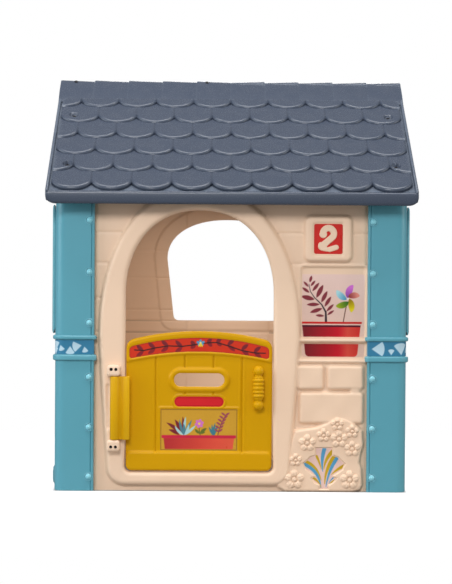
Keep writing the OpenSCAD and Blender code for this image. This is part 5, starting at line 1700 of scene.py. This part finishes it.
# %% The fern film: fanned blades in blue and ochre
BLADES = [((235, 11), (189, 74), 5.6, 0.30, SKY_BLUE), ((235.5, 30), (194, 79), 3.8, 0.26, OCHRE),
          ((236, 11), (215, 36), 2.6, 0.18, OCHRE), ((236, 58), (223.5, 92), 2.8, 0.06, OCHRE),
          ((240, 52), (244, 112), 4.8, -0.12, SKY_BLUE), ((242.5, 58), (268, 107), 4.8, -0.20, OCHRE),
          ((245, 20), (270, 92), 4.8, -0.16, OCHRE), ((248.5, 13), (277, 88), 4.4, -0.12, SKY_BLUE),
          ((262, 44), (298, 68), 4.0, -0.12, OCHRE), ((256, 22), (267, 36), 1.7, -0.1, SKY_BLUE),
          ((254, 14), (276, 31), 2.6, -0.2, OCHRE)]


def paint_fern(x, z):
    ink = ground(x, (228, 192, 182))
    for base, tip, width, bend, colour in BLADES:
        base = (base[0] + FERN_X - 243, base[1])
        tip = (tip[0] + FERN_X - 243, tip[1])
        ink = lay(ink, blade(x, z, base, tip, 1.32 * width, -bend), colour)
    return ink


film_piece("fern_film", "fern_label", "house", "fern_label_print",
           lambda x, z: -(outline_sd(x, z, FERN) + 2.4), 9.6, 12.0, paint_fern, step=0.9)


# %% [markdown]
# ## The belts' films
# A strip of petals is wrapped round each post between the belt's bars. It is carried round the post's
# own section, so that it follows the big corner without a gap, and its inks are laid by the length
# along the strip.

# %% Belt films, wrapped round the posts
def petal_sd(s, z, cs, cz, size, turn):
    """A broad petal round at one end, with its point `turn` degrees from straight up, towards +s."""
    t = math.radians(turn)
    ps, pz = cs + 0.5 * size * math.sin(t), cz + 0.5 * size * math.cos(t)
    along = -(s - ps) * math.sin(t) - (z - pz) * math.cos(t)
    across = np.abs((s - ps) * math.cos(t) - (z - pz) * math.sin(t))
    spread = math.radians(35)
    sides = across * math.cos(spread) - along * math.sin(spread)
    return both(sides, np.hypot(across, along) - size, 2.4)


# Petals on each side of the house: place along the strip, height, length and lean
BELT_PETALS = {-1: ((16, 364, 15, 10), (36, 372.5, 24, -80), (54, 362, 21, 0), (77, 368, 15, 15),
                    (95, 363, 20, -60)),
               1: ((20, 370, 33, -90), (54, 362, 15, 180), (79, 370, 31, 175))}


def belt_film(shell, sx, sy):
    """The strip follows the post's section between the belt's two bars."""
    path = [p for p in post_path() if max(p[0], p[1]) < LEG - 0.2 and min(p[0], p[1]) < WALL_FACE - 1]
    fine, run = [path[0]], [0.0]
    for a, b in zip(path, path[1:]):
        gap = math.hypot(b[0] - a[0], b[1] - a[1])
        for i in range(1, max(1, round(gap / 1.3)) + 1):
            t = i / max(1, round(gap / 1.3))
            fine.append(tuple(np.array(a) * (1 - t) + np.array(b) * t))
            run.append(run[-1] + gap / max(1, round(gap / 1.3)))
    total = run[-1]
    heights = spaced(352, 388, 1.3)
    rings = []
    for z in [heights[0], *heights, heights[-1]]:
        inner = len(rings) == 0 or len(rings) == len(heights) + 1
        out = 0.05 if inner else 0.5
        row = [(px + nx * out, py + ny * out, z) for px, py, nx, ny in fine]
        row += [(px - nx * 0.4, py - ny * 0.4, z) for px, py, nx, ny in reversed(fine)]
        rings.append([corner_point(sx, sy, px, py, pz) for px, py, pz in row])
    points, faces = loft(rings)
    s = np.array((run + run[::-1]) * len(rings))
    z = np.array([p[2] for p in points])
    ink = ground(s, (54, 122, 156))
    for petals, distance in ((BELT_PETALS[sx], s - 8), (BELT_PETALS[-sx][:4], total - s - 8)):
        for cs, cz, size, turn in petals:
            ink = lay(ink, petal_sd(distance, z, cs, cz, size, turn), (182, 210, 224))
    shell.add(points, faces, "free", ink)


belts = Shell()
for sx, sy in CORNERS.values():
    belt_film(belts, sx, sy)
belts.piece("belt_films", "house", "belt_label_print", FILM, ("post_belt_labels",))

# %% [markdown]
# ## Floor, light and camera
# A studio lights such a house with large soft lamps. A key light stands in front, a little above the
# roof, and draws the long soft highlights. A cool light on the left and a weaker warm one on the right
# shape the posts, a long one above lifts the shingles' lips, and one behind keeps the rear readable. A
# small lamp inside stands for the light that bounces about in the cabin. Lamps could be one big
# softbox, but then the two posts would look the same.
#
# The floor is pale and fades into a white surround, so that the house stands on no edge.

# %% The floor
def stage_floor():
    mesh = bpy.data.meshes.new("studio_floor")
    s = 14.0
    mesh.from_pydata([(-s, -s, 0), (s, -s, 0), (s, s, 0), (-s, s, 0)], [], [(0, 1, 2, 3)])
    floor = bpy.data.objects.new("studio_floor", mesh)
    bpy.context.scene.collection.objects.link(floor)
    material, tree, shader = principled("pale_floor")
    coord = node(tree, "ShaderNodeTexCoord").outputs["Object"]
    colour = mix(tree, noise(tree, coord, 3.0), (0.30, 0.30, 0.30, 1), (0.33, 0.33, 0.33, 1))
    tree.links.new(colour, shader.inputs["Base Color"])
    shader.inputs["Roughness"].default_value = 0.7
    distance = node(tree, "ShaderNodeVectorMath", operation="LENGTH")
    tree.links.new(coord, distance.inputs[0])
    seen = node(tree, "ShaderNodeLightPath").outputs["Is Camera Ray"]
    # how far out a point is, where 1 is the foot of the walls: the floor inside the house doesn't glow
    spread = node(tree, "ShaderNodeVectorMath", operation="MULTIPLY")
    spread.inputs[1].default_value = (2000 / HOUSE_W, 2000 / HOUSE_D, 0)
    tree.links.new(coord, spread.inputs[0])
    parts = node(tree, "ShaderNodeSeparateXYZ")
    tree.links.new(spread.outputs["Vector"], parts.inputs[0])
    far_out = maths(tree, "MAXIMUM", maths(tree, "ABSOLUTE", parts.outputs["X"], 0),
                    maths(tree, "ABSOLUTE", parts.outputs["Y"], 0))
    outside = ramp(tree, far_out, 0.985, 1.02)
    glow = maths(tree, "MULTIPLY", maths(tree, "MULTIPLY", seen, 0.78), outside)
    tree.links.new(glow, shader.inputs["Emission Strength"])
    shader.inputs["Emission Color"].default_value = (1, 1, 1, 1)
    # the floor fades into the white surround away from the house
    clear, both_ways = node(tree, "ShaderNodeBsdfTransparent"), node(tree, "ShaderNodeMixShader")
    tree.links.new(ramp(tree, distance.outputs["Value"], 0.75, 1.5), both_ways.inputs[0])
    tree.links.new(shader.outputs[0], both_ways.inputs[1])
    tree.links.new(clear.outputs[0], both_ways.inputs[2])
    tree.links.new(both_ways.outputs[0], tree.nodes["Material Output"].inputs["Surface"])
    mesh.materials.append(material)
    return floor


print("floor:", stage_floor().name)

# %% The lights
def area_light(name, place, aim, size, power, colour=(1, 1, 1)):
    data = bpy.data.lights.new(name, "AREA")
    data.shape = "RECTANGLE"
    data.size, data.size_y = size
    data.energy, data.color = power, colour
    light = bpy.data.objects.new(name, data)
    light.location = place
    light.rotation_euler = (Vector(aim) - Vector(place)).to_track_quat("-Z", "Y").to_euler()
    light.visible_camera = False
    bpy.context.scene.collection.objects.link(light)


COOL, WARM, CABIN = (0.86, 0.94, 1.0), (1.0, 1.0, 0.94), (1.0, 0.86, 0.74)
area_light("key_light", (-0.7, -4.8, 2.75), (0, 0, 1.0), (1.8, 1.2), 121)
area_light("left_light", (-3.2, -1.4, 1.5), (0, 0, 0.9), (2.2, 2.0), 54, COOL)
area_light("right_light", (3.4, -1.2, 1.5), (0, 0, 0.9), (2.0, 2.0), 30, WARM)
area_light("top_light", (0, -0.9, 3.5), (0, -0.1, 0.9), (3.2, 0.8), 84)
area_light("back_light", (0.6, 4.4, 2.6), (0, 0, 0.5), (2.4, 1.6), 60)
area_light("cabin_light", (0, -0.05, 0.70), (0, 0.1, 0), (0.5, 0.4), 1.5, CABIN)

# %% The white surround
WORLD_GLOW = 0.32
world = bpy.data.worlds.new("studio")
bpy.context.scene.world = world
world.use_nodes = True
sky = world.node_tree.nodes["Background"]
sky.inputs["Color"].default_value = (1, 1, 1, 1)
seen = node(world.node_tree, "ShaderNodeLightPath").outputs["Is Camera Ray"]
strength = maths(world.node_tree, "ADD", WORLD_GLOW,
                 maths(world.node_tree, "MULTIPLY", seen, 1 - WORLD_GLOW))
world.node_tree.links.new(strength, sky.inputs["Strength"])
bpy.context.scene.view_settings.view_transform = "Standard"
print("the surround glows", WORLD_GLOW, "on the house and 1 to the camera")

# %% [markdown]
# ## The camera
# A long lens from the front, level with the middle of the walls, keeps the posts upright and shows
# the roof's slope only a little. Small turns of the camera set the frame straight.

# %% The camera
camera_data = bpy.data.cameras.new("camera")
camera_data.lens = 104.05
camera = bpy.data.objects.new("camera", camera_data)
YAW, TILT, ROLL = math.radians(0.6), math.radians(-0.6), math.radians(0.4)
turn = (Matrix.Rotation(-YAW, 3, "Z") @ Matrix.Rotation(math.pi / 2 + TILT, 3, "X")
        @ Matrix.Rotation(ROLL, 3, "Z"))
camera.matrix_world = Matrix.Translation((-0.059, -4.736, 0.56)) @ turn.to_4x4()
bpy.context.scene.collection.objects.link(camera)
bpy.context.scene.camera = camera
print("camera", round(camera_data.lens, 1), "mm at", [round(c, 2) for c in camera.location])
